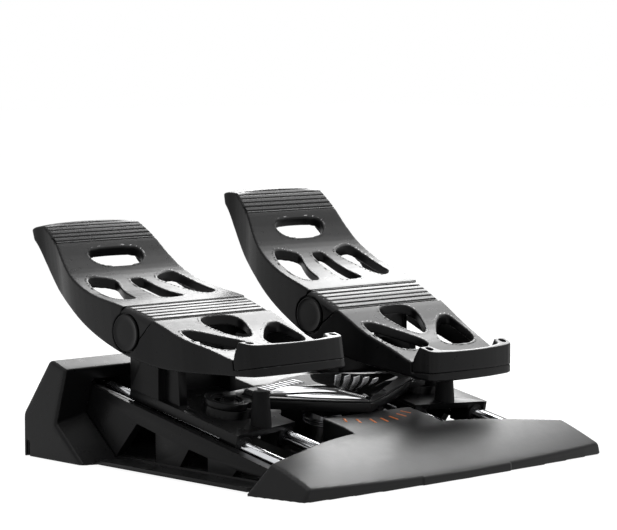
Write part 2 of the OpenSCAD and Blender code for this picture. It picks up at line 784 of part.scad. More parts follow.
module rocker_bush() {
    flange_t = 1.2;
    bush_r = 8.5;
    flange_r = 11;
    low = band_w - 1.5;
    color("#d8d4c8") on_rails() translate([0, pivot_v, 0]) difference() {
        union() {
            translate([0, 0, low]) cylinder(r = bush_r, h = arm_top_w - low);
            translate([0, 0, low - flange_t]) cylinder(r = flange_r, h = flange_t);
        }
        translate([0, 0, low - flange_t - over])
            cylinder(r = post_d / 2 + fit_gap, h = arm_top_w);
    }
}

// Gloss cover on top of the rocker
module shield_cover() {
    inset = 1.6;
    front_shares = [[0, 0], [0.288462, 0.246], [0.740385, 0.696], [0.807692, 0.748]];
    back_shares = [[0.826923, 0.092], [0.75, 0.24], [0.538462, 0.29], [0.211538, 0.5], [0, 0.54]];
    front = [for (s = front_shares) [s[0] * pin_x, (s[1] - 1) * nose + inset]];
    back = scaled(back_shares, [pin_x, nose]);
    color("#0d0d10") on_rails() translate([0, pivot_v, arm_top_w])
        linear_extrude(shield_top_w - arm_top_w) polygon(both_halves(concat(front, back)));
}

// Everything of one side is drawn for the right and mirrored for the left
module on_side(side) {
    if (side > 0) children();
    else mirror([1, 0, 0]) children();
}

bush_r = 6.5;
bush_flange_r = 8;
bush_flange_t = 1.5;
// Starts of the slide bushes along the rails: on the inner rod, then on the outer one
inner_bush_inset = 14;
outer_bush_inset = 3;
bush_back = carriage_back - bush_len - 5;
bush_starts = [[inner_bush_inset - carriage_front, bush_back],
    [outer_bush_inset - carriage_front, bush_back]];
bush_rails = [inner_rail_x, outer_rail_x];

module carriage(side) {
    notch_v = 12.3;
    notch_x = 10;
    step_in = 29;
    plate_front_in = notch_v - carriage_front;
    step_x = carriage_in + notch_x;
    step_v = step_in - carriage_front;
    skirt_w = 3.2;
    skirt_thick = 3;
    block_low = -8.4;
    block_half = 8;
    boss_r = 18.5;
    boss_w = 17;
    boss_bore = 4;
    tower_back = 21.8;
    tower_front = -11.2;
    tower_foot = -60;
    tower_top_r = 11;
    shoulder = -16;
    gusset_front = -29.6;
    gusset_top = -17;
    gusset_t = 8;
    web_front = 2.8;
    web_t = 5;
    web_top = -25;
    color(plastic) on_side(side) difference() {
        union() {
            on_rails() {
                translate([0, 0, carriage_h - carriage_t]) linear_extrude(carriage_t) polygon([
                    [carriage_out, -carriage_front], [carriage_out, carriage_back],
                    [carriage_in, carriage_back], [carriage_in, step_v + carriage_in - step_x
                    + (step_x - carriage_in) * 2], [step_x, step_v], [step_x, plate_front_in]
                ]);
                box([carriage_out - skirt_thick, -carriage_front, skirt_w],
                    [carriage_out, carriage_back, carriage_h]);
                for (i = [0, 1], v = bush_starts[i])
                    box([bush_rails[i] - block_half, v, block_low],
                        [bush_rails[i] + block_half, v + bush_len, carriage_h - carriage_t / 2]);
                translate([pin_x, pivot_v, carriage_h - carriage_t])
                    cylinder(r = boss_r, h = boss_w - carriage_h + carriage_t);
            }
            in_base() intersection() {
                translate([pedal_x, axle_y, axle_z]) {
                    for (x = [-tower_out, tower_out - tower_t])
                        translate([x + tower_t / 2, 0, 0]) along_x(tower_t) {
                            polygon([[tower_front, tower_foot], [tower_back, tower_foot],
                                [tower_back, shoulder], [tower_top_r, 0], [-tower_top_r, 0],
                                [tower_front, shoulder]]);
                            circle(tower_top_r);
                        }
                    translate([tower_out - tower_t - gusset_t / 2, 0, 0])
                        along_x(gusset_t) polygon([[gusset_front, tower_foot - wall],
                            [tower_back / 2, tower_foot], [tower_back / 2, gusset_top],
                            [gusset_front + wall, gusset_top - wall]]);
                    box([-tower_out + tower_t / 2, web_front, tower_foot],
                        [tower_out - tower_t / 2, web_front + web_t, web_top]);
                }
                translate([0, 0, rail_h]) rotate([incline, 0, 0])
                    box([0, -base_w, carriage_h - carriage_t / 2], [base_w, base_w, base_w]);
            }
        }
        on_rails() {
            for (i = [0, 1]) translate([bush_rails[i], 0, 0]) {
                for (v = bush_starts[i]) rod_y(bush_r, v - over, v + bush_len + over);
                rod_y(bush_flange_r + fit_gap, bush_starts[i][0] - carriage_front,
                    bush_starts[i][0]);
                rod_y(bush_flange_r + fit_gap, bush_starts[i][1] + bush_len,
                    bush_starts[i][1] + bush_len + carriage_back);
            }
            translate([pin_x, pivot_v, carriage_h - carriage_t - over])
                cylinder(r = boss_bore, h = boss_w);
        }
        in_base() translate([pedal_x, axle_y, axle_z])
            rod_x(axle_d / 2 + fit_gap, -pedal_w, pedal_w);
        // Room for the beam under the plate's outer edge
        on_rails() box([beam_in - move_gap, -base_w, -base_w],
            [base_w, base_w, skirt_w]);
    }
}
module left_carriage() carriage(-1);
module right_carriage() carriage(1);

module slide_bushes(side) {
    color(rubber) on_side(side) on_rails()
        for (k = [0, 1], i = [0, 1]) translate([bush_rails[k], 0, 0]) difference() {
            v = bush_starts[k][i];
            union() {
                rod_y(bush_r, v, v + bush_len);
                if (i == 0) rod_y(bush_flange_r, v - bush_flange_t, v);
                else rod_y(bush_flange_r, v + bush_len, v + bush_len + bush_flange_t);
            }
            rod_y(rail_r + fit_gap, v - base_d / 2, v + base_d / 2);
        }
}
module left_slide_bushes() slide_bushes(-1);
module right_slide_bushes() slide_bushes(1);

// Pin and roller on the carriage's boss, running in the rocker's slot
module drive_roller(side) {
    pin_r = 4;
    head_r = 5;
    head_w = 26;
    pin_low = 7;
    head_t = 2.5;
    roller_low = 17.2;
    roller_high = 20.4;
    color(steel) on_side(side) on_rails() translate([pin_x, pivot_v, 0]) {
        translate([0, 0, pin_low]) cylinder(r = pin_r, h = head_w - pin_low);
        translate([0, 0, roller_low])
            cylinder(r = roller_d / 2, h = roller_high - roller_low);
        translate([0, 0, head_w - head_t]) cylinder(r = head_r, h = head_t);
    }
}
module left_drive_roller() drive_roller(-1);
module right_drive_roller() drive_roller(1);

// Height of the rib that lands on the bump stop, from the axle
heel_rib_low = -0.2887 * pedal_h;

module bump_stop(side) {
    stop_x = 4.2;
    base_r = stop_r;
    top_r = 6.4;
    bevel = 0.8;
    place_y = axle_y + heel_rib_y;
    low = deck_z(place_y, carriage_h) + base_r * tan(incline);
    high = axle_z + heel_rib_low - seam_gap;
    color(rubber) on_side(side) in_base() translate([pedal_x + stop_x, place_y, 0])
        difference() {
            union() {
                translate([0, 0, low - wall]) cylinder(r = base_r, h = wall);
                translate([0, 0, low])
                    cylinder(r1 = base_r, r2 = top_r, h = high - bevel - low);
                translate([0, 0, high - bevel])
                    cylinder(r1 = top_r, r2 = top_r - bevel, h = bevel);
            }
            translate([0, -place_y, rail_h]) rotate([incline, 0, 0])
                box([-base_w, -base_w, -base_w], [base_w, base_w, carriage_h]);
        }
}
module left_bump_stop() bump_stop(-1);
module right_bump_stop() bump_stop(1);

module brake_sensor(side) {
    half_y = 11;
    top = 7.5;
    low = -22;
    depth = 12;
    plug = 5;
    start = -tower_out + tower_t;
    color(plastic_light) on_side(side) in_base() translate([pedal_x, axle_y, axle_z])
        difference() {
            union() {
                box([start, -half_y, low], [start + depth, half_y, top]);
                box([start + wall, -half_y - plug, low], [start + depth - wall, -half_y,
                    low + depth - wall]);
            }
            rod_x(axle_d / 2 + seam_gap, start - over, start + depth + over);
        }
}
module left_brake_sensor() brake_sensor(-1);
module right_brake_sensor() brake_sensor(1);

// Wound spring around the axle, its leg braced on the carriage's cross wall
module brake_spring(side) {
    turns = 7;
    steps = 16;
    wire_r = 1.1;
    coil_r = axle_d / 2 + wire_r + 0.4;
    pitch = 2.8;
    start = -6;
    leg = 24.6;
    coil = [for (i = [0 : turns * steps])
        [start + pitch * i / steps, coil_r * cos(360 * i / steps),
            coil_r * sin(360 * i / steps)]];
    path = concat([[start, coil_r, -leg], [start, coil_r, -leg / 2]], coil);
    color(steel) on_side(side) in_base() translate([pedal_x, axle_y, axle_z])
        wire(path, wire_r, 6);
}
module left_brake_spring() brake_spring(-1);
module right_brake_spring() brake_spring(1);

// A pedal's own frame: its axle at the origin, tilted for the left one
module on_pedal(side) {
    in_base() translate([side * pedal_x, axle_y, axle_z])
        rotate([side < 0 ? -left_press : 0, 0, 0]) children();
}

// The pedal's outer form, shrunk by t under the tread and by s at the sides
module pedal_form(t, s) {
    toe_arch = 353;
    toe_top = 0.6895 * pedal_h;
    intersection() {
        along_x(pedal_w) polygon(concat(tread_at(t), reversed(skirt_curve)));
        translate([0, 0, -pedal_h]) linear_extrude(2 * pedal_h)
            polygon(both_halves(reversed(plan_at(s))));
        translate([0, 0, toe_top - toe_arch]) rotate([90, 0, 0])
            cylinder(r = toe_arch - t, h = 2 * pedal_l, center = true, $fn = 180);
    }
}

// The room under the tread, open downwards
module pedal_hollow() {
    top = tread_at(tread_t);
    first = top[0];
    last = top[len(top) - 1];
    intersection() {
        along_x(pedal_w) polygon(concat(top, [[last[0], -pedal_h], [first[0], -pedal_h]]));
        translate([0, 0, -pedal_h]) linear_extrude(2 * pedal_h)
            polygon(both_halves(reversed(plan_at(skirt_t))));
    }
}

toe_slot_at = [0.3065 * pedal_l, 0.4454 * pedal_h];
toe_slot_lean = 50.5;
module toe_slot(d) {
    depth = reveal + tread_t;
    translate([0, toe_slot_at[0], toe_slot_at[1]]) rotate([toe_slot_lean, 0, 0])
        translate([0, 0, -depth]) linear_extrude(2 * depth)
            polygon(grown(smooth_loop(scaled(toe_slot_shares, pedal_top), 2), d));
}

// The other openings, grown by d
module openings(d) {
    translate([0, 0, -pedal_h]) linear_extrude(2 * pedal_h) {
        for (s = [side_slot_shares, heel_wing_shares]) {
            loop = grown(smooth_loop(scaled(s, pedal_top), 2), d * turn_of(s));
            polygon(loop);
            polygon(flipped(loop));
        }
        for (s = [middle_slot_shares, heel_slot_shares])
            polygon(grown(smooth_loop(scaled(s, pedal_top), 2), d * turn_of(s)));
    }
}

// Sense in which a loop of points runs: 1 clockwise, -1 anticlockwise
function area_sum(p, i = 0) = i >= len(p) ? 0 : p[i][0] * p[(i + 1) % len(p)][1]
    - p[(i + 1) % len(p)][0] * p[i][1] + area_sum(p, i + 1);
function turn_of(p) = area_sum(p) > 0 ? -1 : 1;

// Wedge of the hinge cover in side view, grown by d
cover_wedge_shares = [[-0.0073, 0.25], [-0.0073, 0.151], [0.046, 0.024], [0, -0.03],
    [-0.042, -0.062], [-0.146, 0.045], [-0.146, 0.25]];
cover_t = 2;
module cover_wedge(d) {
    along_x(pedal_w + over) polygon(grown(scaled(cover_wedge_shares, pedal_side),
        d * turn_of(cover_wedge_shares)));
}

// Plan of the raised heel stop: a bowed wall with thick corners
heel_u_shares = [[0.5, -0.421], [0.30, -0.421], [0.292, -0.452], [0.262, -0.478],
    [0.14, -0.4875], [0, -0.4905]];
module heel_u(d) {
    inner = scaled(heel_u_shares, pedal_top);
    difference() {
        translate([-pedal_w / 2, -pedal_l]) square([pedal_w, pedal_l * (1 - 0.421) + d]);
        polygon(both_halves(concat(
            [[inner[1][0] - d, over]],
            [for (i = [1 : len(inner) - 1]) inner[i] + [i < 4 ? -d : 0, d]]
        )));
    }
}
heel_seat = -0.2723 * pedal_h;
heel_screw_at = [0.347 * pedal_w, -0.4702 * pedal_l];
heel_boss_r = 4;

module pedal_plate(side) {
    cap_r = cap_d / 2 + 1.3;
    face_x = axle_half + cap_t;
    boss_r = 9;
    boss_in = face_x - 17;
    groove_w = 1.1;
    groove_deep = 0.9;
    grooves = 6;
    rib_t = 4;
    groove_from = [0.424 * pedal_l, 0.676 * pedal_h];
    groove_to = [0.358 * pedal_l, 0.572 * pedal_h];
    color(plastic) on_pedal(side) difference() {
        union() {
            difference() {
                pedal_form(0, 0);
                pedal_hollow();
            }
            // Walls around the openings, and the rib that lands on the bump stop
            intersection() {
                union() {
                    openings(skirt_t / 2);
                    toe_slot(skirt_t / 2);
                }
                along_x(pedal_w) polygon(concat(tread_curve, reversed(tread_at(reveal))));
                pedal_form(0, skirt_t / 2);
            }
            intersection() {
                box([-pedal_w, heel_rib_y - rib_t / 2, heel_rib_low],
                    [pedal_w, heel_rib_y + rib_t / 2, 0]);
                pedal_form(0, skirt_t / 2);
            }
            intersection() {
                both_sides() rod_x(boss_r, boss_in, face_x - wall);
                pedal_form(tread_t / 2, skirt_t / 2);
            }
        }
        openings(0);
        toe_slot(0);
        both_sides() {
            rod_x(axle_d / 2 + fit_gap, boss_in - over, pedal_w);
            rod_x(cap_r, face_x - cover_t - seam_gap, pedal_w);
            translate([heel_screw_at[0], heel_screw_at[1], -pedal_h])
                cylinder(r = screw_r, h = pedal_h);
        }
        difference() {
            cover_wedge(seam_gap);
            pedal_form(cover_t + seam_gap, cover_t + seam_gap);
        }
        translate([0, 0, heel_seat]) linear_extrude(pedal_h) heel_u(seam_gap);
        for (i = [0 : grooves - 1])
            translate([0, groove_from[0], groove_from[1]]
                + [0, groove_to[0] - groove_from[0], groove_to[1] - groove_from[1]]
                * i / (grooves - 1))
                rotate([atan2(groove_from[1] - groove_to[1], groove_from[0] - groove_to[0]), 0, 0])
                    box([-pedal_w, -groove_w / 2, -groove_deep], [pedal_w, groove_w / 2, pedal_h]);
    }
}
module left_pedal_plate() pedal_plate(-1);
module right_pedal_plate() pedal_plate(1);

module hinge_cover(side) {
    cap_r = cap_d / 2 + 1.3;
    groove_w = 1.2;
    groove_deep = 0.9;
    grooves = 6;
    groove_from = [-0.012 * pedal_l, 0.141 * pedal_h];
    groove_to = [-0.115 * pedal_l, 0.052 * pedal_h];
    lean = atan2(groove_from[1] - groove_to[1], groove_from[0] - groove_to[0]);
    color(plastic_light) on_pedal(side) difference() {
        intersection() {
            cover_wedge(0);
            pedal_form(0, 0);
        }
        pedal_form(cover_t, cover_t);
        both_sides() rod_x(cap_r, pedal_w / 4, pedal_w);
        for (i = [0 : grooves - 1])
            translate([0, groove_from[0], groove_from[1]]
                + [0, groove_to[0] - groove_from[0], groove_to[1] - groove_from[1]]
                * i / (grooves - 1))
                rotate([lean, 0, 0])
                    box([-pedal_w, -groove_w / 2, -groove_deep], [pedal_w, groove_w / 2, pedal_h]);
    }
}
module left_hinge_cover() hinge_cover(-1);
module right_hinge_cover() hinge_cover(1);

module pedal_axle(side) {
    bevel = 0.5;
    color(steel) on_pedal(side) {
        rod_x(axle_d / 2, -axle_half + bevel, axle_half - bevel);
        both_sides() translate([axle_half - bevel, 0, 0]) rotate([0, 90, 0])
            cylinder(r1 = axle_d / 2, r2 = axle_d / 2 - bevel, h = bevel);
    }
}
module left_pedal_axle() pedal_axle(-1);
module right_pedal_axle() pedal_axle(1);

module axle_caps(side) {
    bevel = 0.6;
    color(plastic) on_pedal(side) both_sides() {
        rod_x(cap_d / 2, axle_half, axle_half + cap_t - bevel);
        translate([axle_half + cap_t - bevel, 0, 0]) rotate([0, 90, 0])
            cylinder(r1 = cap_d / 2, r2 = cap_d / 2 - bevel, h = bevel);
    }
}
module left_axle_caps() axle_caps(-1);
module right_axle_caps() axle_caps(1);

// Raised wall at the heel end, with a screw recess in each corner
module heel_stop(side) {
    rise = [[-0.418, -0.2255], [-0.4557, -0.1305], [-0.52, -0.168], [-0.52, -0.2723],
        [-0.418, -0.2723]];
    recess_r = 3;
    recess_deep = 6;
    color(plastic) on_pedal(side) difference() {
        intersection() {
            along_x(pedal_w) polygon(scaled(rise, pedal_side));
            translate([0, 0, -pedal_h]) linear_extrude(2 * pedal_h)
                polygon(both_halves(reversed(plan_half)));
            translate([0, 0, -pedal_h]) linear_extrude(2 * pedal_h) heel_u(0);
        }
        both_sides() translate([heel_screw_at[0], heel_screw_at[1], 0]) {
            translate([0, 0, heel_seat - over]) cylinder(r = screw_r + fit_gap, h = pedal_h);
            translate([0, 0, -0.145 * pedal_h - recess_deep]) cylinder(r = recess_r, h = pedal_h);
        }
    }
}
module left_heel_stop() heel_stop(-1);
module right_heel_stop() heel_stop(1);

module heel_screws(side) {
    head_r = 2.7;
    head_t = 2;
    hex_r = 1.4;
    recess_deep = 6;
    low = heel_seat - wall;
    seat = -0.145 * pedal_h - recess_deep;
    color(steel) on_pedal(side) both_sides()
        translate([heel_screw_at[0], heel_screw_at[1], 0]) difference() {
            union() {
                translate([0, 0, low]) cylinder(r = screw_r, h = seat - low);
                translate([0, 0, seat]) cylinder(r = head_r, h = head_t, $fn = 32);
            }
            translate([0, 0, seat + head_t / 2]) cylinder(r = hex_r, h = head_t, $fn = 6);
        }
}
module left_heel_screws() heel_screws(-1);
module right_heel_screws() heel_screws(1);

base_tray();
rear_housing();
front_panel();
electronics_cover();
left_outer_rail();
left_inner_rail();
right_inner_rail();
right_outer_rail();
front_rail_clamps();
rear_rail_clamps();
rocker_post();
rudder_sensor();
centring_spring();
circuit_board();
cable_gland();
rubber_feet();
base_screws();
rocker_arm();
rocker_bush();
shield_cover();
left_carriage();
left_slide_bushes();
left_drive_roller();
left_bump_stop();
left_brake_sensor();
left_brake_spring();
left_pedal_plate();
left_hinge_cover();
left_pedal_axle();
left_axle_caps();
left_heel_stop();
left_heel_screws();
right_carriage();
right_slide_bushes();
right_drive_roller();
right_bump_stop();
right_brake_sensor();
right_brake_spring();
right_pedal_plate();
right_hinge_cover();
right_pedal_axle();
right_axle_caps();
right_heel_stop();
right_heel_screws();
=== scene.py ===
import json
import math
import bpy
import bmesh
import numpy as np
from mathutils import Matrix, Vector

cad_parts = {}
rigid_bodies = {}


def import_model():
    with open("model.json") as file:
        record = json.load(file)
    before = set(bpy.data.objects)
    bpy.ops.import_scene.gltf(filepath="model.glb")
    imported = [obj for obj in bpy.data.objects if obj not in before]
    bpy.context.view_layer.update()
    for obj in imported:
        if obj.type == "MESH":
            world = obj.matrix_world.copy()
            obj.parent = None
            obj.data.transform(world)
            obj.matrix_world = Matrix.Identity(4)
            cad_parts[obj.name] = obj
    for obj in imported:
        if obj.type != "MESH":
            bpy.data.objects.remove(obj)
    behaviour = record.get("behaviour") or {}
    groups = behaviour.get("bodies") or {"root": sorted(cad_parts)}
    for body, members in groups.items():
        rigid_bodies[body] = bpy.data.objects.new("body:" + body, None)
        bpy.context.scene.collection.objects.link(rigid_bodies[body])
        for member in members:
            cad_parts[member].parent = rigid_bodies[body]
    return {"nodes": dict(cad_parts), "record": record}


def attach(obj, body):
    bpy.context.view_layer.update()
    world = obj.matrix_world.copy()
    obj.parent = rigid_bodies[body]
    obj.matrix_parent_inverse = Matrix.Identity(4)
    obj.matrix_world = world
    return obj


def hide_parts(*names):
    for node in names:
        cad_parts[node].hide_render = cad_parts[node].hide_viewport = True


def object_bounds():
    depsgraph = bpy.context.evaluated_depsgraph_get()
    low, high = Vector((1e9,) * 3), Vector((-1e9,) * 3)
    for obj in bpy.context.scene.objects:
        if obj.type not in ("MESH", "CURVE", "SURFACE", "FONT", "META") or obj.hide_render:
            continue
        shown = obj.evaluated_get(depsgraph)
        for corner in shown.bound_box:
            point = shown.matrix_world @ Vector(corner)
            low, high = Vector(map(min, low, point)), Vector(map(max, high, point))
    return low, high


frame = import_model()
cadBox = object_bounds()
nodes = frame["nodes"]
mm = 0.001
sides = ("left", "right")
baseY = -12.6157             # the y of the base frame's middle, in millimetres
deckSlope = 11               # degrees, the slope of the rods
deckZ = 34                   # the rods' height at the base frame's middle
pivotV = -3.0                # the rocker's pivot along the rods, from the base frame's middle
joints = {joint["name"]: joint for joint in frame["record"]["behaviour"]["joints"]}
axlePlace = {side: np.array(joints[side + "_toe_brake"]["pos_m"]) / mm for side in sides}
# A pedal's sizes are those of a free one, at its joint's upper limit, and 0 is the photo's pose
pedalTilt = {side: -joints[side + "_toe_brake"]["range_deg"][1] for side in sides}
print("stage 1: frame loaded,", len(nodes), "nodes")

cameraView = {"place": (-1.38895, -1.45490, 0.32019), "target": (-0.05191, -0.05249, 0.15542),
              "lens": 149.5, "sensor": 36.0, "reach": 50}


def addObject(name, data):
    made = bpy.data.objects.new(name, data)
    bpy.context.scene.collection.objects.link(made)
    return made


# Cameras and lamps look along their own -z: a tilt up from straight down, then a turn
def aimAt(thing, place, target):
    x, y, z = np.array(target) - np.array(place)
    thing.location = place
    thing.rotation_euler = (math.atan2(math.hypot(x, y), -z), 0, math.atan2(-x, y))


def placeCamera(view):
    data = bpy.data.cameras.new("viewCamera")
    data.lens, data.sensor_width = view["lens"], view["sensor"]
    data.clip_end = view["reach"]
    camera = addObject("viewCamera", data)
    aimAt(camera, view["place"], view["target"])
    bpy.context.scene.camera = camera


placeCamera(cameraView)
bpy.context.scene.view_settings.view_transform = "Standard"


# Node trees are written as {name: (kind, {socket or property: value})} with links beside them
def buildTree(tree, parts, links):
    made = {}
    for key, (kind, values) in parts.items():
        node = tree.nodes.new("ShaderNode" + kind)
        for field, value in values.items():
            if isinstance(field, int) or field in node.inputs:
                node.inputs[field].default_value = value
            else:
                setattr(node, field, value)
        made[key] = node
    for source, target in links:
        a, b = source.split(":"), target.split(":")
        outSocket = made[a[0]].outputs[int(a[1]) if a[1].isdigit() else a[1]]
        inSocket = made[b[0]].inputs[int(b[1]) if b[1].isdigit() else b[1]]
        tree.links.new(outSocket, inSocket)


studio = {
    "worldLight": 0.37, "backdrop": 1.0, "floorReach": 9, "floorTone": 0.82, "floorGlow": 0.72,
    "floorShine": 1.28,
    "lamps": {
        "topSoftbox": {"place": (-0.3, 0.1, 1.9), "aim": (0, 0, 0.05), "size": 1.5, "power": 7.0},
        "rearSoftbox": {"place": (0.58, 0.34, 0.50), "aim": (-0.05, -0.1, 0.05), "size": 0.5,
                        "power": 2.8},
        "treadSoftbox": {"place": (0.73, 0.66, 0.63), "aim": (-0.1, 0, 0.09), "size": 0.6,
                         "power": 5.0},
        "slopeSoftbox": {"place": (1.20, -0.30, 1.45), "aim": (0, 0, 0.12), "size": 1.4,
                         "power": 7.0},
    },
}


# Rays that see the white backdrop and the floor's glow: camera, glossy and transmission
seenParts = {
    "path": ("LightPath", {}),
    "seen": ("Math", {"operation": "MAXIMUM"}),
    "seenAll": ("Math", {"operation": "MAXIMUM"}),
}
seenLinks = [("path:Is Camera Ray", "seen:0"), ("path:Is Glossy Ray", "seen:1"),
             ("seen:0", "seenAll:0"), ("path:Is Transmission Ray", "seenAll:1")]


def blankMaterial(name):
    material = bpy.data.materials.new(name)
    material.use_nodes = True
    material.node_tree.nodes.clear()
    return material


def setStudio(s):
    world = bpy.data.worlds.new("studioWorld")
    bpy.context.scene.world = world
    world.use_nodes = True
    world.node_tree.nodes.clear()
    buildTree(world.node_tree, {
        **seenParts,
        "light": ("Background", {"Color": (1, 1, 1, 1), "Strength": s["worldLight"]}),
        "white": ("Background", {"Color": (1, 1, 1, 1), "Strength": s["backdrop"]}),
        "mix": ("MixShader", {}),
        "out": ("OutputWorld", {}),
    }, seenLinks + [("seenAll:0", "mix:0"), ("light:0", "mix:1"), ("white:0", "mix:2"),
                    ("mix:0", "out:0")])

    floorMesh = bpy.data.meshes.new("studioFloor")
    low, reach = float(cadBox[0][2]), s["floorReach"]
    floorMesh.from_pydata([(-reach, -reach, low), (reach, -reach, low), (reach, reach, low),
                           (-reach, reach, low)], [], [(0, 1, 2, 3)])
    addObject("studioFloor", floorMesh)
    paint = blankMaterial("paleFloor")
    tone = s["floorTone"]
    buildTree(paint.node_tree, {
        **seenParts,
        "share": ("Math", {"operation": "MULTIPLY", 1: s["floorGlow"]}),
        "diffuse": ("BsdfDiffuse", {"Color": (tone, tone, tone, 1)}),
        "glow": ("Emission", {"Color": (1, 1, 1, 1), "Strength": s["floorShine"]}),
        "mix": ("MixShader", {}),
        "out": ("OutputMaterial", {}),
    }, seenLinks + [("seenAll:0", "share:0"), ("share:0", "mix:0"), ("diffuse:0", "mix:1"),
                    ("glow:0", "mix:2"), ("mix:0", "out:0")])
    floorMesh.materials.append(paint)


def addLamp(name, place, aim, size, power):
    data = bpy.data.lights.new(name, "AREA")
    data.shape, data.size, data.energy = "DISK", size, power
    aimAt(addObject(name, data), place, aim)


setStudio(studio)
for key, lamp in studio["lamps"].items():
    addLamp(key, **lamp)
print("stage 2: camera and studio set")

# Moulded plastics: tone, roughness, specular, grain, light edges, dust with painted sheen on what
# faces up and, if any, a tint
finishes = {
    "satinPlastic": (0.0062, 0.29, 0.13, 0.08, 0.008, 0.012),
    "panelPlastic": (0.0066, 0.36, 0.18, 0.10, 0.008, 0.012),
    "pedalPlastic": (0.0060, 0.29, 0.13, 0.08, 0.008, 0.012),
    "ribPlastic": (0.0070, 0.28, 0.18, 0.05, 0.012, 0.016),
    "sensorPlastic": (0.010, 0.42, 0.15, 0.10, 0.02, 0.015),
    "slideBushPlastic": (0.008, 0.45, 0.15, 0.05, 0.01, 0.01),
    "footRubber": (0.008, 0.6, 0.12, 0.2, 0.008, 0.02),
    "bearingPlastic": (0.62, 0.45, 0.4, 0.05, 0.0, 0.0),
    "boardResin": (0.02, 0.4, 0.4, 0.05, 0.02, 0.01, (0.25, 1.0, 0.45)),
    "tickOrange": (0.62, 0.45, 0.3, 0.03, 0.0, 0.0, (1.0, 0.24, 0.02)),
    "shieldGloss": (0.003, 0.07, 0.25, 0.008, 0.004, 0.002),
}
materials = {}
# What all moulded plastics share: noise scales, spread of tone, worn edges, bump
mould = {"driftScale": 14.0, "grainScale": 1200.0, "flowScale": 160.0, "dark": 0.82,
         "light": 1.22, "edgeFrom": 0.53, "edgeTo": 0.62, "smoother": 0.02, "rougher": 0.03,
         "flowShare": 0.12, "bumpHeight": 0.0003}


# Moulded plastic: a tone with slow drift, light edges by pointiness, a lighter tone on what faces
# up that is partly dust and partly painted sheen, roughness drift, and a bump of two noises,
# mould grain and faint flow
def plasticFinish(name, tone, rough, specular, grain, wear, dustAndSheen, tint=(1.0, 1.0, 1.06)):
    m = mould
    material = blankMaterial(name)
    tones = [tone * c for c in tint]
    edge = [min(1, t + wear) for t in tones]
    # Lighter tone for upward faces: partly dust, partly a painted sheen for the light that falls
    # on tops
    dustAndSheenTones = [min(1, t + dustAndSheen) for t in tones]
    buildTree(material.node_tree, {
        "place": ("TexCoord", {}),
        "shape": ("NewGeometry", {}),
        "drift": ("TexNoise", {"Scale": m["driftScale"], "Detail": 4.0}),
        "grain": ("TexNoise", {"Scale": m["grainScale"], "Detail": 2.0}),
        "flow": ("TexNoise", {"Scale": m["flowScale"], "Detail": 5.0}),
        "tones": ("Mix", {"data_type": "RGBA", 6: (*[t * m["dark"] for t in tones], 1),
                          7: (*[t * m["light"] for t in tones], 1)}),
        "edgeRamp": ("MapRange", {"From Min": m["edgeFrom"], "From Max": m["edgeTo"]}),
        "edgeBreak": ("Math", {"operation": "MULTIPLY"}),
        "edges": ("Mix", {"data_type": "RGBA", 7: (*edge, 1)}),
        "split": ("SeparateXYZ", {}),
        # Mask of upward faces for the lighter tone that is partly dust and partly painted sheen
        "upRamp": ("MapRange", {"From Min": 0.25, "From Max": 1.0}),
        "dustBreak": ("Math", {"operation": "MULTIPLY"}),
        "dustAll": ("Mix", {"data_type": "RGBA", 7: (*dustAndSheenTones, 1)}),
        "roughRamp": ("MapRange", {"From Min": 0.3, "From Max": 0.7,
                                   "To Min": rough - m["smoother"],
                                   "To Max": rough + m["rougher"]}),
        "heights": ("Math", {"operation": "MULTIPLY_ADD", 1: m["flowShare"]}),
        "bump": ("Bump", {"Strength": grain, "Distance": m["bumpHeight"]}),
        "body": ("BsdfPrincipled", {"Specular IOR Level": specular}),
        "out": ("OutputMaterial", {}),
    }, [("place:Object", "drift:Vector"), ("place:Object", "grain:Vector"),
        ("place:Object", "flow:Vector"), ("drift:0", "tones:0"),
        ("shape:Pointiness", "edgeRamp:0"), ("edgeRamp:0", "edgeBreak:0"),
        ("flow:0", "edgeBreak:1"), ("edgeBreak:0", "edges:0"), ("tones:2", "edges:6"),
        ("shape:Normal", "split:0"), ("split:2", "upRamp:0"), ("upRamp:0", "dustBreak:0"),
        ("flow:0", "dustBreak:1"), ("dustBreak:0", "dustAll:0"), ("edges:2", "dustAll:6"),
        ("dustAll:2", "body:Base Color"), ("flow:0", "roughRamp:0"),
        ("roughRamp:0", "body:Roughness"), ("flow:0", "heights:0"), ("grain:0", "heights:2"),
        ("heights:0", "bump:Height"), ("bump:0", "body:Normal"), ("body:0", "out:0")])
    materials[name] = material


# Metals: tone, roughness and how close the streaks lie along x, y and z
metals = {
    "rodChrome": ((0.66, 0.67, 0.69), 0.22, (300, 10, 300)),
    "postSteel": ((0.45, 0.45, 0.46), 0.30, (500, 500, 60)),
    "inlaySilver": ((0.90, 0.90, 0.92), 0.30, (300, 300, 300)),
    "screwSteel": ((0.32, 0.32, 0.33), 0.34, (700, 700, 700)),
}
drawn = {"dark": 0.9, "light": 1.06, "smoother": 0.04, "rougher": 0.06, "bumpHeight": 0.0002}


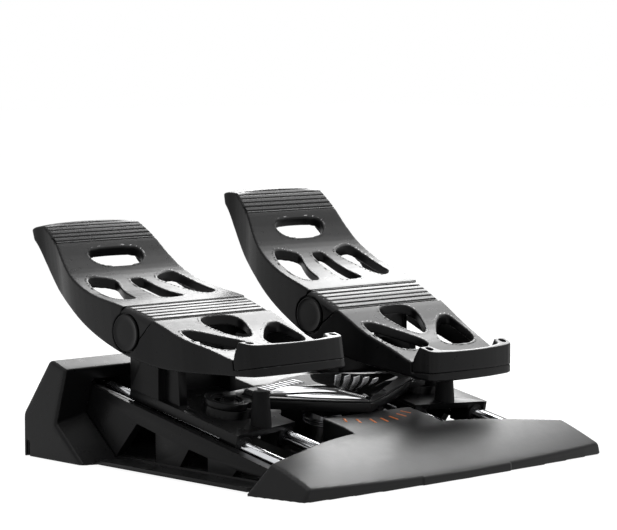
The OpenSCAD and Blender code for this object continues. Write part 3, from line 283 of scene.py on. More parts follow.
# Metal: a tone with drawn streaks along one way in colour and bump, and a haze of roughness
def metalFinish(name, tone, rough, streak):
    d = drawn
    material = blankMaterial(name)
    buildTree(material.node_tree, {
        "place": ("TexCoord", {}),
        "stretch": ("Mapping", {"Scale": streak}),
        "streaks": ("TexNoise", {"Scale": 1.0, "Detail": 3.0}),
        "haze": ("TexNoise", {"Scale": 30.0, "Detail": 4.0}),
        "tones": ("Mix", {"data_type": "RGBA", 6: (*[t * d["dark"] for t in tone], 1),
                          7: (*[min(1, t * d["light"]) for t in tone], 1)}),
        "roughRamp": ("MapRange", {"From Min": 0.3, "From Max": 0.7,
                                   "To Min": rough - d["smoother"],
                                   "To Max": rough + d["rougher"]}),
        "bump": ("Bump", {"Strength": 0.01, "Distance": d["bumpHeight"]}),
        "body": ("BsdfPrincipled", {"Metallic": 1.0}),
        "out": ("OutputMaterial", {}),
    }, [("place:Object", "stretch:0"), ("stretch:0", "streaks:Vector"),
        ("place:Object", "haze:Vector"), ("streaks:0", "tones:0"), ("tones:2", "body:Base Color"),
        ("haze:0", "roughRamp:0"), ("roughRamp:0", "body:Roughness"),
        ("streaks:0", "bump:Height"), ("bump:0", "body:Normal"), ("body:0", "out:0")])
    materials[name] = material


for key, values in finishes.items():
    plasticFinish(key, *values)
for key, values in metals.items():
    metalFinish(key, *values)
print("stage 3:", len(materials), "finishes made")


# A smooth piece from points in metres, with its finish, its body and the nodes it stands for
def meshPiece(name, points, faces, finish, body, stands, normals=None):
    mesh = bpy.data.meshes.new(name)
    mesh.from_pydata(np.asarray(points, float).tolist(), [], [list(f) for f in faces])
    mesh.polygons.foreach_set("use_smooth", [True] * len(mesh.polygons))
    mesh.materials.append(materials[finish])
    mesh.update()
    if normals is not None:
        mesh.normals_split_custom_set_from_vertices(normals)
    piece = addObject(name, mesh)
    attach(piece, body)
    if stands:
        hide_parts(*stands)


# A copy of a CAD node with its flat triangles merged and edges sharper than angle rounded
def softEdged(node, name, finish, body, width, merge=2e-5, flat=0.6, angle=36, segments=3):
    mesh = nodes[node].data.copy()
    mesh.name = name
    work = bmesh.new()
    work.from_mesh(mesh)
    bmesh.ops.remove_doubles(work, verts=work.verts, dist=merge)
    bmesh.ops.dissolve_limit(work, angle_limit=math.radians(flat), verts=work.verts,
                             edges=work.edges)
    work.to_mesh(mesh)
    work.free()
    mesh.materials.clear()
    mesh.materials.append(materials[finish])
    mesh.polygons.foreach_set("use_smooth", [True] * len(mesh.polygons))
    mesh.polygons.foreach_set("material_index", [0] * len(mesh.polygons))
    mesh.update()
    piece = addObject(name, mesh)
    bevel = piece.modifiers.new("edges", "BEVEL")
    bevel.width, bevel.segments = width * mm, segments
    bevel.limit_method, bevel.angle_limit = "ANGLE", math.radians(angle)
    bevel.use_clamp_overlap = True
    bevel.harden_normals = True
    bevel.miter_outer = "MITER_ARC"
    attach(piece, body)
    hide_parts(node)


# Catmull-Rom curve through the points: on each span, half the sum of the cubic's four terms
def curveThrough(points, steps, closed=False):
    p = np.asarray(points, float)
    if closed:
        a, b, c, d = np.roll(p, 1, 0), p, np.roll(p, -1, 0), np.roll(p, -2, 0)
    else:
        padded = np.vstack([p[:1], p, p[-1:]])
        a, b, c, d = padded[:-3], padded[1:-2], padded[2:-1], padded[3:]
    t = (np.arange(steps) / steps)[None, :, None]
    a, b, c, d = (v[:, None, :] for v in (a, b, c, d))
    curve = (2 * b + (c - a) * t + (2 * a - 5 * b + 4 * c - d) * t ** 2
             + (3 * b - a - 3 * c + d) * t ** 3) / 2
    curve = curve.reshape(-1, p.shape[1])
    return curve if closed else np.vstack([curve, p[-1:]])


# Signed distance of (a, b) from a closed loop: the nearest of its edges, negative inside
def fromLoop(loop, a, b):
    loop = np.asarray(loop, float)
    a, b = np.broadcast_arrays(np.asarray(a, float), np.asarray(b, float))
    near = np.full(a.shape, 1e9)
    inside = np.zeros(a.shape, bool)
    for (ax, ay), (bx, by) in zip(loop, np.roll(loop, -1, axis=0)):
        ux, uy = bx - ax, by - ay
        wx, wy = a - ax, b - ay
        t = np.clip((wx * ux + wy * uy) / (ux * ux + uy * uy), 0, 1)
        near = np.minimum(near, (wx - t * ux) ** 2 + (wy - t * uy) ** 2)
        if uy:
            inside ^= ((ay > b) != (by > b)) & (wx < ux * (b - ay) / uy)
    return np.where(inside, -1, 1) * np.sqrt(near)


# The larger of two distances with the meeting edge rounded to radius r, and the smaller one
def roundMax(a, b, r):
    return np.minimum(np.maximum(a, b), -r) + np.hypot(np.maximum(a + r, 0), np.maximum(b + r, 0))


def roundMin(a, b, r):
    return -roundMax(-a, -b, r)


# Signed distance from the plane through point, positive on the side of its normal
def fromPlane(point, normal, x, y, z):
    n = np.asarray(normal, float) / np.linalg.norm(normal)
    return (x - point[0]) * n[0] + (y - point[1]) * n[1] + (z - point[2]) * n[2]


# The field's normals, or the mesh's own where the two differ by more degrees than apart, then
# averaged along the mesh's edges with neighbours that differ by fewer degrees than alike
def calmNormals(points, quads, normals, apart=40, alike=12, turns=3):
    diagonals = np.cross(points[quads[:, 2]] - points[quads[:, 0]],
                         points[quads[:, 3]] - points[quads[:, 1]])
    own = np.zeros_like(points)
    for corner in range(4):
        np.add.at(own, quads[:, corner], diagonals)
    own /= np.maximum(np.linalg.norm(own, axis=1), 1e-9)[:, None]
    far = (own * normals).sum(axis=1) < math.cos(math.radians(apart))
    normals = np.where(far[:, None], own, normals)
    first, second = quads.ravel(), np.roll(quads, -1, axis=1).ravel()
    for turn in range(turns):
        near = (normals[first] * normals[second]).sum(axis=1) > math.cos(math.radians(alike))
        total = normals.copy()
        np.add.at(total, first[near], normals[second[near]])
        np.add.at(total, second[near], normals[first[near]])
        normals = total / np.linalg.norm(total, axis=1)[:, None]
    return normals


# For each axis, which grid edges along it the skin crosses, and how far along them
def edgeCrossings(values):
    found = []
    for axis in range(3):
        near, far = [slice(None)] * 3, [slice(None)] * 3
        near[axis], far[axis] = slice(0, -1), slice(1, None)
        f0, f1 = values[tuple(near)], values[tuple(far)]
        cross = (f0 < 0) != (f1 < 0)
        found.append((cross, np.where(cross, f0 / np.where(cross, f0 - f1, 1), 0)))
    return found


# One point in each grid cell that the skin crosses, at the mean of the crossings on its edges,
# in steps of the grid, and the number of each cell's point
def cellPoints(found, cells):
    total = np.zeros(cells + [3], np.float32)
    hits = np.zeros(cells, np.float32)
    for axis, (cross, share) in enumerate(found):
        u, v = [k for k in range(3) if k != axis]
        for du, dv in ((0, 0), (0, 1), (1, 0), (1, 1)):
            part = [slice(None)] * 3
            part[u], part[v] = slice(du, cells[u] + du), slice(dv, cells[v] + dv)
            here = cross[tuple(part)]
            hits += here
            total[..., axis] += share[tuple(part)]
            total[..., u] += here * du
            total[..., v] += here * dv
    used = hits > 0
    points = np.argwhere(used) + total[used] / hits[used][:, None]
    number = np.full(cells, -1, np.int64)
    number[used] = np.arange(len(points))
    return points, number


# One quad for each grid edge that the skin crosses, from the points of the four cells round it,
# turned so that it faces out of the solid
def cellQuads(found, number, solid):
    quads = []
    for axis, (cross, _) in enumerate(found):
        u, v = [k for k in range(3) if k != axis]
        inner = [slice(None)] * 3
        inner[u], inner[v] = slice(1, -1), slice(1, -1)
        at = np.argwhere(cross[tuple(inner)])
        at[:, [u, v]] += 1
        stepU, stepV = np.eye(3, dtype=int)[[u, v]]
        ring = [number[tuple((at - stepU - stepV).T)], number[tuple((at - stepV).T)],
                number[tuple(at.T)], number[tuple((at - stepU).T)]]
        face = np.stack(ring, axis=1)
        outward = solid[tuple(at.T)] != (axis == 1)
        quads.append(np.where(outward[:, None], face, face[:, ::-1]))
    return np.vstack(quads)


# Points moved along the field's slope on to the skin, with that slope as their normals
def ontoSkin(field, points, step, moves=2, probe=0.08, leastSlope=0.2):
    reach = probe * step
    for turn in range(moves + 1):
        x, y, z = points.T
        value = field(x, y, z)
        slope = np.stack([field(x + reach, y, z) - field(x - reach, y, z),
                          field(x, y + reach, z) - field(x, y - reach, z),
                          field(x, y, z + reach) - field(x, y, z - reach)], axis=1) / (2 * reach)
        size = np.maximum((slope ** 2).sum(axis=1), leastSlope)
        if turn < moves:
            points = points - slope * np.clip(value / size, -step, step)[:, None]
    return points, slope / np.sqrt(np.maximum((slope ** 2).sum(axis=1), 1e-9))[:, None]


# Skin of the solid where field(x, y, z) is below zero, by surface nets on a grid of one step
def skinOf(field, low, high, step):
    count = [int(math.ceil((h - l) / step)) + 1 for l, h in zip(low, high)]
    axes = [l + step * np.arange(n) for l, n in zip(low, count)]
    values = field(axes[0][:, None, None], axes[1][None, :, None], axes[2][None, None, :])
    values = np.ascontiguousarray(np.broadcast_to(values, count), dtype=np.float32)
    values = np.where(values == 0, np.float32(1e-6), values)
    found = edgeCrossings(values)
    points, number = cellPoints(found, [n - 1 for n in count])
    quads = cellQuads(found, number, values < 0)
    points, normals = ontoSkin(field, points * step + np.asarray(low), step)
    return points, quads, calmNormals(points, quads, normals)


# Millimetres of the base's frame to metres of the scene
def inBase(points):
    return (np.asarray(points) + [0, baseY, 0]) * mm


# Points turned about the x axis, anticlockwise as seen from +x
def turned(points, degrees):
    c, s = math.cos(math.radians(degrees)), math.sin(math.radians(degrees))
    p = np.asarray(points)
    return np.stack([p[:, 0], p[:, 1] * c - p[:, 2] * s, p[:, 1] * s + p[:, 2] * c], axis=1)


# Millimetres about a pedal's axle to metres of the scene, with that pedal's tilt at rest
def onPedal(side, points):
    return (turned(points, pedalTilt[side]) + axlePlace[side]) * mm


# The tread plate, in millimetres about its axle: x across, y towards the toe, z up
pedal = {
    "top": [(121, 92.5), (113, 96.6), (104.5, 95), (88, 79.6), (76, 62.8), (62, 47.9), (38, 33.8),
            (2, 21.2), (-27.4, 8), (-58, -9.5), (-82, -20.2), (-104.4, -30.5), (-128.5, -39)],
    "under": [(118.5, 84), (113.7, 77.6), (107, 64.5), (99, 51), (88.5, 38), (70.7, 25),
              (54, 12), (34, -1), (10.5, -13.4), (-3.5, -19.5), (-30, -29.5), (-62, -36),
              (-101, -42), (-128.5, -46)],
    "plan": [(45.3, 122), (48, 118), (48, 104.5), (51, 88), (55, 76), (58.5, 62), (61.3, 38),
             (63, 2), (60.5, -27.4), (58, -58), (53.5, -82), (51, -104.4), (48.8, -114),
             (45, -122), (30, -124.6), (15, -125.7), (0, -126)],
    "archTop": 97.2, "archRadius": 353, "archRound": 2.5, "sideRound": 1.4, "farBelow": -300,
    "toeSlot": [(27.6, 2.6), (27.0, 6.0), (22.6, 8.7), (11, 9.8), (0.8, 10.1), (-9.4, 9.8),
                (-21, 8.7), (-25.4, 6.0), (-26.0, 2.6), (-23.6, -2.3), (-18.4, -6.0),
                (-9.2, -8.2), (0.8, -8.8), (10.8, -8.2), (20, -6.0), (25.2, -2.3)],
    "toeSlotAt": (76, 62.8), "toeLean": 50.5, "toeDraw": (0.42, -0.91), "toeSlotDepth": 16.2,
    "sideSlot": [(23, 56.5), (30, 59.5), (40, 61.3), (45.5, 58.5), (49.5, 50), (51, 42),
                 (51.6, 30), (50.5, 21.5), (44.5, 16.8), (37.5, 16.2), (33.5, 20), (31, 28),
                 (28.5, 38), (24.5, 47), (21.8, 53)],
    "middleSlot": [(0, 56.3), (5.4, 55.4), (7.4, 50), (8.3, 41.5), (9.9, 27), (12, 16.5),
                   (9.5, 13.6), (0, 12.6)],
    "heelSlot": [(0, -31.6), (9, -32.2), (15.5, -34.5), (19, -39.5), (17.8, -46.5),
                 (12.8, -56.5), (7, -64), (0, -67)],
    "heelWing": [(46.5, -48.6), (39.5, -49.6), (31, -54.3), (22.5, -61.5), (12.5, -71.8),
                 (9, -80.5), (14.5, -85.8), (31.8, -87), (43.5, -83), (49, -74), (50.8, -60),
                 (49.8, -51)],
    "rimRound": 1.1, "treadWall": 4.2, "sideWall": 4.0, "hollowRound": 1.0, "wallRound": 0.9,
    "reveal": 7.0, "toeReveal": 6.6, "revealWall": 2.0, "revealRound": 0.6,
    "innerEdge": [[(44, 4), (50, 16), (56, 26), (60, 31.5), (67, 36.5), (75, 42), (85, 46.5),
                   (97, 53), (106, 62), (114, 40), (80, 10), (60, -10)],
                  [(-62, -36.5), (-48, -28.5), (-30, -22.8), (-18, -22), (-10, -23), (-8, -40),
                   (-62, -50)]],
    "innerEdgeFrom": 30, "innerEdgeRound": 0.5,
    "bossRadius": 9, "bossFrom": 46, "bossUnder": 2, "bossRound": 1.0,
    "boreRadius": 5, "boreFrom": 45,
    "grid": {"low": (-66, -131, -48.5), "high": (66, 124.5, 99.5), "step": 1.15},
}
toeRibs = {
    "from": (104.3, 94.5), "to": (87.7, 79.7), "channels": 6, "radius": 0.7, "channelRound": 0.25,
    "proud": 0.04, "thickness": 1.25, "past": 1.9, "edgeRound": 0.4,
    "bedPast": 1.7, "bedDepth": 1.1,
    "grid": {"low": (-50, 83, 73), "high": (50, 110, 99), "step": 0.42},
}
hingeCover = {
    "wedge": [(-1.8, 35), (-1.8, 21.3), (11.4, 3.4), (0, -4.2), (-10.4, -8.7), (-30.4, 6.6),
              (-30.4, 35)],
    "from": (-3, 19.9), "to": (-28.5, 7.3), "channels": 6, "radius": 0.9, "channelRound": 0.3,
    "reach": 20, "sideRound": 5.5, "edgeRound": 0.55, "wall": 2.0, "wallRound": 0.3,
    "capFrom": 32, "capRound": 0.5, "bedGap": 0.35, "bedDepth": 2.3, "bedRound": 0.5,
    "grid": {"low": (-66, -38, -11), "high": (66, 13.5, 25), "step": 0.78},
}
heelStop = {
    "rise": [(-103.7, -31.8), (-111.2, -18.0), (-129, -23.7), (-129, -38.4), (-103.7, -38.4)],
    "plan": [(36.6, -104.4), (35.8, -111.6), (32.6, -117.9), (17.9, -120.7), (0, -121.5)],
    "front": 104.4, "open": 60, "innerRound": 3.0, "planRound": 0.9,
    "screwAt": (42.4, -115.6), "screwRadius": 3.0, "screwFloor": -26.4, "screwRound": 0.45,
    "seatFront": 104.1, "seatGap": 0.3, "seatFloor": -38.4,
    "grid": {"low": (-53, -130, -40), "high": (53, -102, -17), "step": 0.5},
}
# The axle's cap: (radius, height) of a disc with a fine raised rim, its face hardly domed
axleCap = {
    "profile": [(0, 0.0), (14, 0.0), (14.0, 1.5), (13.95, 1.9), (13.75, 2.2), (13.4, 2.3),
                (13.1, 2.26), (12.9, 2.14), (9.0, 2.2), (4.0, 2.26), (0, 2.28)],
    "at": 60.7, "recess": 15.3, "recessRound": 0.7,
}


# Half an outline that ends on the middle line, with its mirror image after it
def bothHalves(half):
    half = np.asarray(half, float)
    return np.vstack([half, (half * [-1, 1])[::-1][1:]])


topCurve = curveThrough(pedal["top"], steps=4)
underCurve = curveThrough(pedal["under"], steps=3)
sideLoop = np.vstack([topCurve, underCurve[::-1]])
treadLoop = np.vstack([topCurve, [(topCurve[end, 0], pedal["farBelow"]) for end in (-1, 0)]])
planLoop = bothHalves(curveThrough(pedal["plan"], steps=3))
slotLines = [pedal["sideSlot"], pedal["heelWing"], bothHalves(pedal["middleSlot"])[:-1],
             bothHalves(pedal["heelSlot"])[:-1]]
slotLoops = [curveThrough(line, steps=5, closed=True) for line in slotLines]
toeLoop = curveThrough(pedal["toeSlot"], steps=4, closed=True)
stopInner = bothHalves([(heelStop["plan"][0][0], heelStop["open"])] + heelStop["plan"])


# Outer form: side view, plan and the toe's arch, met with rounded edges
def pedalOuter(x, y, z, rounding):
    side = fromLoop(sideLoop, y, z)
    arch = np.hypot(x, z - pedal["archTop"] + pedal["archRadius"]) - pedal["archRadius"]
    body = roundMax(side, arch, pedal["archRound"])
    return roundMax(body, fromLoop(planLoop, np.abs(x), y), rounding)


# The toe slot: its outline lies on the slope and is carried along the way its mould draws
def toeSlotField(x, y, z):
    cy, cz = pedal["toeSlotAt"]
    ty, tz = math.cos(math.radians(pedal["toeLean"])), math.sin(math.radians(pedal["toeLean"]))
    dy, dz = pedal["toeDraw"]
    cross = ty * dz - tz * dy
    along = ((y - cy) * dz - (z - cz) * dy) / cross
    off = ((z - cz) * ty - (y - cy) * tz) / cross
    return np.maximum(fromLoop(toeLoop, x, along), np.abs(off) - pedal["toeSlotDepth"])


# The nearest of the tread's slots, the same on the left and right of the middle
def slotField(x, y):
    fields = [fromLoop(loop, np.abs(x), y) for loop in slotLoops]
    return np.minimum.reduce(np.broadcast_arrays(*fields))


# A straight row of channels: the distance along it from its middle, half its length, and the
# distance along it from the nearest channel
def alongRow(row, y, z):
    (fy, fz), (ty, tz) = row["from"], row["to"]
    length = math.hypot(ty - fy, tz - fz)
    along = ((y - fy) * (ty - fy) + (z - fz) * (tz - fz)) / length
    pitch = length / (row["channels"] - 1)
    nearest = np.clip(np.round(along / pitch), 0, row["channels"] - 1) * pitch
    return np.abs(along - length / 2), length / 2, along - nearest


# The tread plate: the outer form less the hollow under it, with a short wall round each slot
# and a boss at each end of the axle, less the slots, the caps' recesses, the bore, the beds of
# cover and ribs, the stop's seat and the scallops in the right side wall
def pedalField(x, y, z):
    p = pedal
    outer = pedalOuter(x, y, z, p["sideRound"])
    tread = fromLoop(treadLoop, y, z)
    plan = fromLoop(planLoop, np.abs(x), y)
    hollow = roundMax(tread + p["treadWall"], plan + p["sideWall"], p["hollowRound"])
    solid = roundMax(outer, -hollow, p["wallRound"])
    slots = slotField(x, y)
    toeSlot = toeSlotField(x, y, z)
    skirt = plan + p["sideWall"] / 2
    walls = np.minimum(np.maximum(slots - p["revealWall"], -tread - p["reveal"]),
                       np.maximum(toeSlot - p["revealWall"], -tread - p["toeReveal"]))
    walls = np.maximum(walls, np.maximum(outer, skirt))
    solid = roundMin(solid, walls, p["revealRound"])
    radius = np.hypot(y, z)
    boss = np.maximum(np.maximum(radius - p["bossRadius"], p["bossFrom"] - np.abs(x)),
                      np.maximum(outer + p["bossUnder"], skirt))
    solid = roundMin(solid, boss, p["bossRound"])
    solid = roundMax(solid, -slots, p["rimRound"])
    solid = roundMax(solid, -toeSlot, p["rimRound"])
    recess = np.maximum(radius - axleCap["recess"], axleCap["at"] - np.abs(x))
    solid = roundMax(solid, -recess, axleCap["recessRound"])
    bore = np.maximum(radius - p["boreRadius"], p["boreFrom"] - np.abs(x))
    solid = np.maximum(solid, -bore)
    wedge = fromLoop(hingeCover["wedge"], y, z)
    bed = np.maximum(wedge - hingeCover["bedGap"], -outer - hingeCover["bedDepth"])
    solid = roundMax(solid, -bed, hingeCover["bedRound"])
    seat = np.maximum(y + heelStop["seatFront"], -fromLoop(stopInner, x, y) - heelStop["seatGap"])
    solid = np.maximum(solid, -np.maximum(seat, heelStop["seatFloor"] - z))
    for edge in p["innerEdge"]:
        scallop = np.maximum(fromLoop(edge, y, z), p["innerEdgeFrom"] - x)
        solid = roundMax(solid, -scallop, p["innerEdgeRound"])
    middle, half, _ = alongRow(toeRibs, y, z)
    band = np.maximum(middle - half - toeRibs["bedPast"], -tread - toeRibs["bedDepth"])
    return np.maximum(solid, -band)


# Ribs between shallow round channels: a thin layer of the toe, cut by rods laid across it
def toeRibsField(x, y, z):
    r = toeRibs
    outer = pedalOuter(x, y, z, pedal["sideRound"])
    middle, half, channel = alongRow(r, y, z)
    tread = fromLoop(treadLoop, y, z)
    layer = np.maximum(roundMax(outer - r["proud"], middle - half - r["past"], r["edgeRound"]),
                       -tread - r["thickness"])
    return roundMax(layer, -(np.hypot(channel, tread) - r["radius"]), r["channelRound"])


# The hinge cover: a thin shell of the pedal's form inside a wedge, with channels across its top
def coverField(x, y, z):
    c = hingeCover
    outer = pedalOuter(x, y, z, c["sideRound"])
    wedge = fromLoop(c["wedge"], y, z)
    shell = roundMax(roundMax(wedge, outer, c["edgeRound"]), -outer - c["wall"], c["wallRound"])
    recess = np.maximum(np.hypot(y, z) - axleCap["recess"], c["capFrom"] - np.abs(x))
    shell = roundMax(shell, -recess, c["capRound"])
    middle, _, channel = alongRow(c, y, z)
    tread = fromLoop(treadLoop, y, z)
    rods = np.maximum(np.hypot(channel, tread) - c["radius"], middle - c["reach"])
    return roundMax(shell, -rods, c["channelRound"])


# The raised heel stop: its side view, the pedal's plan and a bowed inner wall, all rounded
def stopField(x, y, z):
    h = heelStop
    rise = fromLoop(h["rise"], y, z)
    plan = fromLoop(planLoop, np.abs(x), y)
    inner = np.maximum(y + h["front"], -fromLoop(stopInner, x, y))
    body = roundMax(roundMax(rise, inner, h["innerRound"]), plan, h["planRound"])
    sx, sy = h["screwAt"]
    recess = np.maximum(np.hypot(np.abs(x) - sx, y - sy) - h["screwRadius"], h["screwFloor"] - z)
    return roundMax(body, -recess, h["screwRound"])


# Faces between neighbouring rings of points, each ring closed on itself
def ringQuads(rings, around):
    ring = np.arange(around)
    after = (ring + 1) % around
    rows = np.arange(rings - 1)[:, None] * around
    return np.stack([rows + ring, rows + after, rows + around + after, rows + around + ring],
                    axis=2).reshape(-1, 4)


# A profile of (radius, height) points turned about an axis: its ring at angle a is the profile
# times (cos a, sin a), with a single point where the radius is zero
def turnedProfile(profile, around=72):
    profile = np.asarray(profile, float)
    angle = 2 * np.pi * np.arange(around) / around
    radius, height = profile[:, 0], profile[:, 1]
    points = np.stack([np.repeat(height[:, None], around, 1), radius[:, None] * np.cos(angle),
                       radius[:, None] * np.sin(angle)], axis=2).reshape(-1, 3)
    return points, ringQuads(len(profile), around)


# The places of a mesh's vertices, one row each
def verticesOf(mesh):
    places = np.empty(len(mesh.vertices) * 3)
    mesh.vertices.foreach_get("co", places)
    return places.reshape(-1, 3)


# The mesh with its doubled points merged and its faces turned outwards
def closePoles(points, quads, merge=1e-4):
    work = bmesh.new()
    scratch = bpy.data.meshes.new("scratch")
    scratch.from_pydata(points.tolist(), [], quads.tolist())
    work.from_mesh(scratch)
    bmesh.ops.remove_doubles(work, verts=work.verts, dist=merge)
    bmesh.ops.recalc_face_normals(work, faces=work.faces)
    work.to_mesh(scratch)
    work.free()
    points, faces = verticesOf(scratch), [list(p.vertices) for p in scratch.polygons]
    bpy.data.meshes.remove(scratch)
    return points, faces


pedalSkin = skinOf(pedalField, **pedal["grid"])
ribsSkin = skinOf(toeRibsField, **toeRibs["grid"])
coverSkin = skinOf(coverField, **hingeCover["grid"])
stopSkin = skinOf(stopField, **heelStop["grid"])
capPoints, capFaces = closePoles(*turnedProfile(axleCap["profile"]))
print("stage 4: faces of plate, ribs, cover and stop",
      [len(skin[1]) for skin in (pedalSkin, ribsSkin, coverSkin, stopSkin)])

for side in sides:
    body = side + "_pedal_body"
    for name, skin, finish, stands in (
            ("PedalPlate", pedalSkin, "pedalPlastic", (side + "_pedal_plate",)),
            ("ToeRibs", ribsSkin, "ribPlastic", ()),
            ("HingeCover", coverSkin, "ribPlastic", (side + "_hinge_cover",)),
            ("HeelStop", stopSkin, "pedalPlastic", (side + "_heel_stop",))):
        points, quads, normals = skin
        meshPiece(side + name, onPedal(side, points), quads, finish, body, stands,
                  turned(normals, pedalTilt[side]))
    caps = [np.array(capPoints) * [s, s, 1] + [s * axleCap["at"], 0, 0] for s in (1, -1)]
    faces = capFaces + [[i + len(capPoints) for i in f] for f in capFaces]
    meshPiece(side + "AxleCaps", onPedal(side, np.vstack(caps)), faces, "pedalPlastic", body,
              (side + "_axle_caps",))

# The wing-shaped front panel, in millimetres about the base's middle, and its tongue
panel = {
    "top": [(-159, 5.5), (-152.4, 9.2), (-132, 17.4), (-112.8, 24), (-98, 28.3), (-83, 31.6),
            (-69, 35.1), (-50, 38.8)],
    "topEnd": (-10, 45.8), "farBelow": -30,
    "plan": [(0, -158.5), (34.6, -157.7), (69.2, -156.8), (103.8, -155.2), (138.4, -153.1),
             (158.5, -151.4), (161.9, -149.9), (194, -133.1), (194, -79.25)],
    "curved": 5, "planRound": 1.2, "edgeRound": 1.6, "sideRound": 2.2,
    "tongue": 47.4, "tongueBack": -50, "tongueFront": -158, "tongueRound": 2.0, "tongueJoin": 1.5,
    "sidePlane": ((157.7, -152.4, 8.3), (1, -0.2017, 0.4858)),
    "wingPlane": ((158.4, -112.8, 23.3), (374, 1024, 785.7)),
    "midPlane": ((62, -85.5, 30), (0.1, 1, 0.45)), "rearRound": 6.0,
    "wall": 3.0, "wallRound": 0.4, "footZ": 0.3, "innerBack": -105.7,
    "beamInner": 134.7, "beamOuter": 143.3, "beamTop": 21.1, "panOuter": 164.6, "panTop": 4.5,
    "rodsAt": (73, 126), "rodGap": 6.6, "rodFront": -115, "rodRound": 0.4,
    "grid": {"low": (-176, -162, -1.2), "high": (176, -46, 42), "step": 1.5},
}
panelTop = curveThrough(panel["top"], steps=4)
topEnd, floorZ = panel["topEnd"], panel["farBelow"]
panelLoop = np.vstack([panelTop, [topEnd, (topEnd[0], floorZ), (panelTop[0, 0], floorZ)]])
# The front edge's first points are joined by a curve, led in by two of their mirror images
frontEdge = np.array(panel["plan"][:panel["curved"]], float)
frontEdge = curveThrough(np.vstack([(frontEdge * [-1, 1])[2:0:-1], frontEdge]), steps=4)
frontEdge = frontEdge[frontEdge[:, 0] > -1e-6]
panelPlan = np.vstack([frontEdge, panel["plan"][panel["curved"]:]])
panelPlan = np.vstack([panelPlan, (panelPlan * [-1, 1])[::-1][:-1]])


# Outer form of the panel: its side view within sloped ends, and a plan of the front edge, two
# planes behind the wings and the tongue, met with rounded edges
def panelOuter(x, y, z):
    p = panel
    x = np.abs(x)
    profile = fromLoop(panelLoop, y, z)
    front = fromLoop(panelPlan, x, y)
    tongue = roundMax(x - p["tongue"], y - p["tongueBack"], p["tongueRound"])
    tongue = np.maximum(tongue, p["tongueFront"] - y)
    wing = fromPlane(*p["wingPlane"], x, y, z)
    mid = fromPlane(*p["midPlane"], x, y, z)
    rear = np.minimum(roundMax(wing, mid, p["rearRound"]), x - p["tongue"])
    sides = fromPlane(*p["sidePlane"], x, y, z)
    plan = roundMin(roundMax(front, rear, p["planRound"]), tongue, p["tongueJoin"])
    return roundMax(roundMax(profile, sides, p["sideRound"]), plan, p["edgeRound"])


# How far a place of the base's frame is along the rods' slope, and over the rods' plane
def alongRail(y, z):
    c, s = math.cos(math.radians(deckSlope)), math.sin(math.radians(deckSlope))
    return y * c + (z - deckZ) * s, -y * s + (z - deckZ) * c


# The panel: a shell of its outer form, open below and cut where beams, pan and rods come in
def panelField(x, y, z):
    p = panel
    outer = panelOuter(x, y, z)
    solid = np.maximum(roundMax(outer, -outer - p["wall"], p["wallRound"]), p["footZ"] - z)
    x = np.abs(x)
    v, w = alongRail(y, z)
    beam = np.maximum(np.maximum(p["beamInner"] - x, x - p["beamOuter"]),
                      np.maximum(p["innerBack"] - y, z - p["beamTop"]))
    pan = np.maximum(np.maximum(x - p["panOuter"], p["innerBack"] - y), z - p["panTop"])
    rods = np.minimum(*(np.hypot(x - at, w) for at in p["rodsAt"])) - p["rodGap"]
    return roundMax(np.maximum(np.maximum(solid, -beam), -pan),
                    -np.maximum(rods, p["rodFront"] - v), p["rodRound"])


# The rear housing: (y, z) lines of its front, top and back, and what is cut from it
housing = {
    "front": ((104.4, 72.2), (118, 28.5)), "top": ((104.4, 72.2), (124, 78.9)),
    "back": ((124, 78.9), (158, 33.5)), "footZ": 0.3, "footY": 158, "halfWidth": 173,
    "facet": ((173, 85, 0.3), (0.3135, -0.855, 0.99)), "facetRound": 1.6,
    "bevel": 2.0, "backBevel": 3.5, "endBevel": 2.4, "join": 1.0,
    "foot": {"from": 60, "to": 155, "top": 37, "bevel": 1},
    "hollow": [(59, -5), (155, -5), (155, 32.5), (122.9, 75.4), (111, 71), (111, 62.6),
               (59, 62.6)],
    "hollowWidth": 143.3, "hollowRound": 1.0, "wallRound": 1.1,
    "slot": {"from": 171, "at": 152.7, "half": 1.7, "top": 13.2},
    "glandHole": {"height": 15, "radius": 5.05, "from": 152},
    "grid": {"low": (-176, 57, -1.2), "high": (176, 161.5, 82), "step": 1.6},
}


# Signed distance of (y, z) from the line through a and b, positive at its left
def fromLine(a, b, y, z):
    dy, dz = b[0] - a[0], b[1] - a[1]
    size = math.hypot(dy, dz)
    return (-(y - a[0]) * dz + (z - a[1]) * dy) / size


# The housing: its upper part between three planes, joined to a foot with slanted facets, cut
# off at the ends, less the hollow, a slot at each end and the gland's hole
def housingField(x, y, z):
    h = housing
    x = np.abs(x)
    front = fromLine(*h["front"][::-1], y, z)
    top = fromLine(*h["top"], y, z)
    back = fromLine(*h["back"], y, z)
    upper = roundMax(roundMax(front, top, h["bevel"]), back, h["backBevel"])
    upper = roundMax(upper, y - h["footY"], h["bevel"])
    f = h["foot"]
    foot = np.maximum(roundMax(f["from"] - y, z - f["top"], f["bevel"]), y - f["to"])
    foot = roundMax(foot, fromPlane(*h["facet"], x, y, z), h["facetRound"])
    both = roundMin(upper, foot, h["join"])
    both = roundMax(both, x - h["halfWidth"], h["endBevel"])
    inner = roundMax(fromLoop(h["hollow"], y, z), x - h["hollowWidth"], h["hollowRound"])
    solid = roundMax(both, -inner, h["wallRound"])
    s = h["slot"]
    slot = np.maximum(np.maximum(s["from"] - x, np.abs(y - s["at"]) - s["half"]), z - s["top"])
    solid = np.maximum(solid, -slot)
    g = h["glandHole"]
    hole = np.maximum(np.hypot(x, z - g["height"]) - g["radius"], g["from"] - y)
    return np.maximum(np.maximum(solid, -hole), h["footZ"] - z)


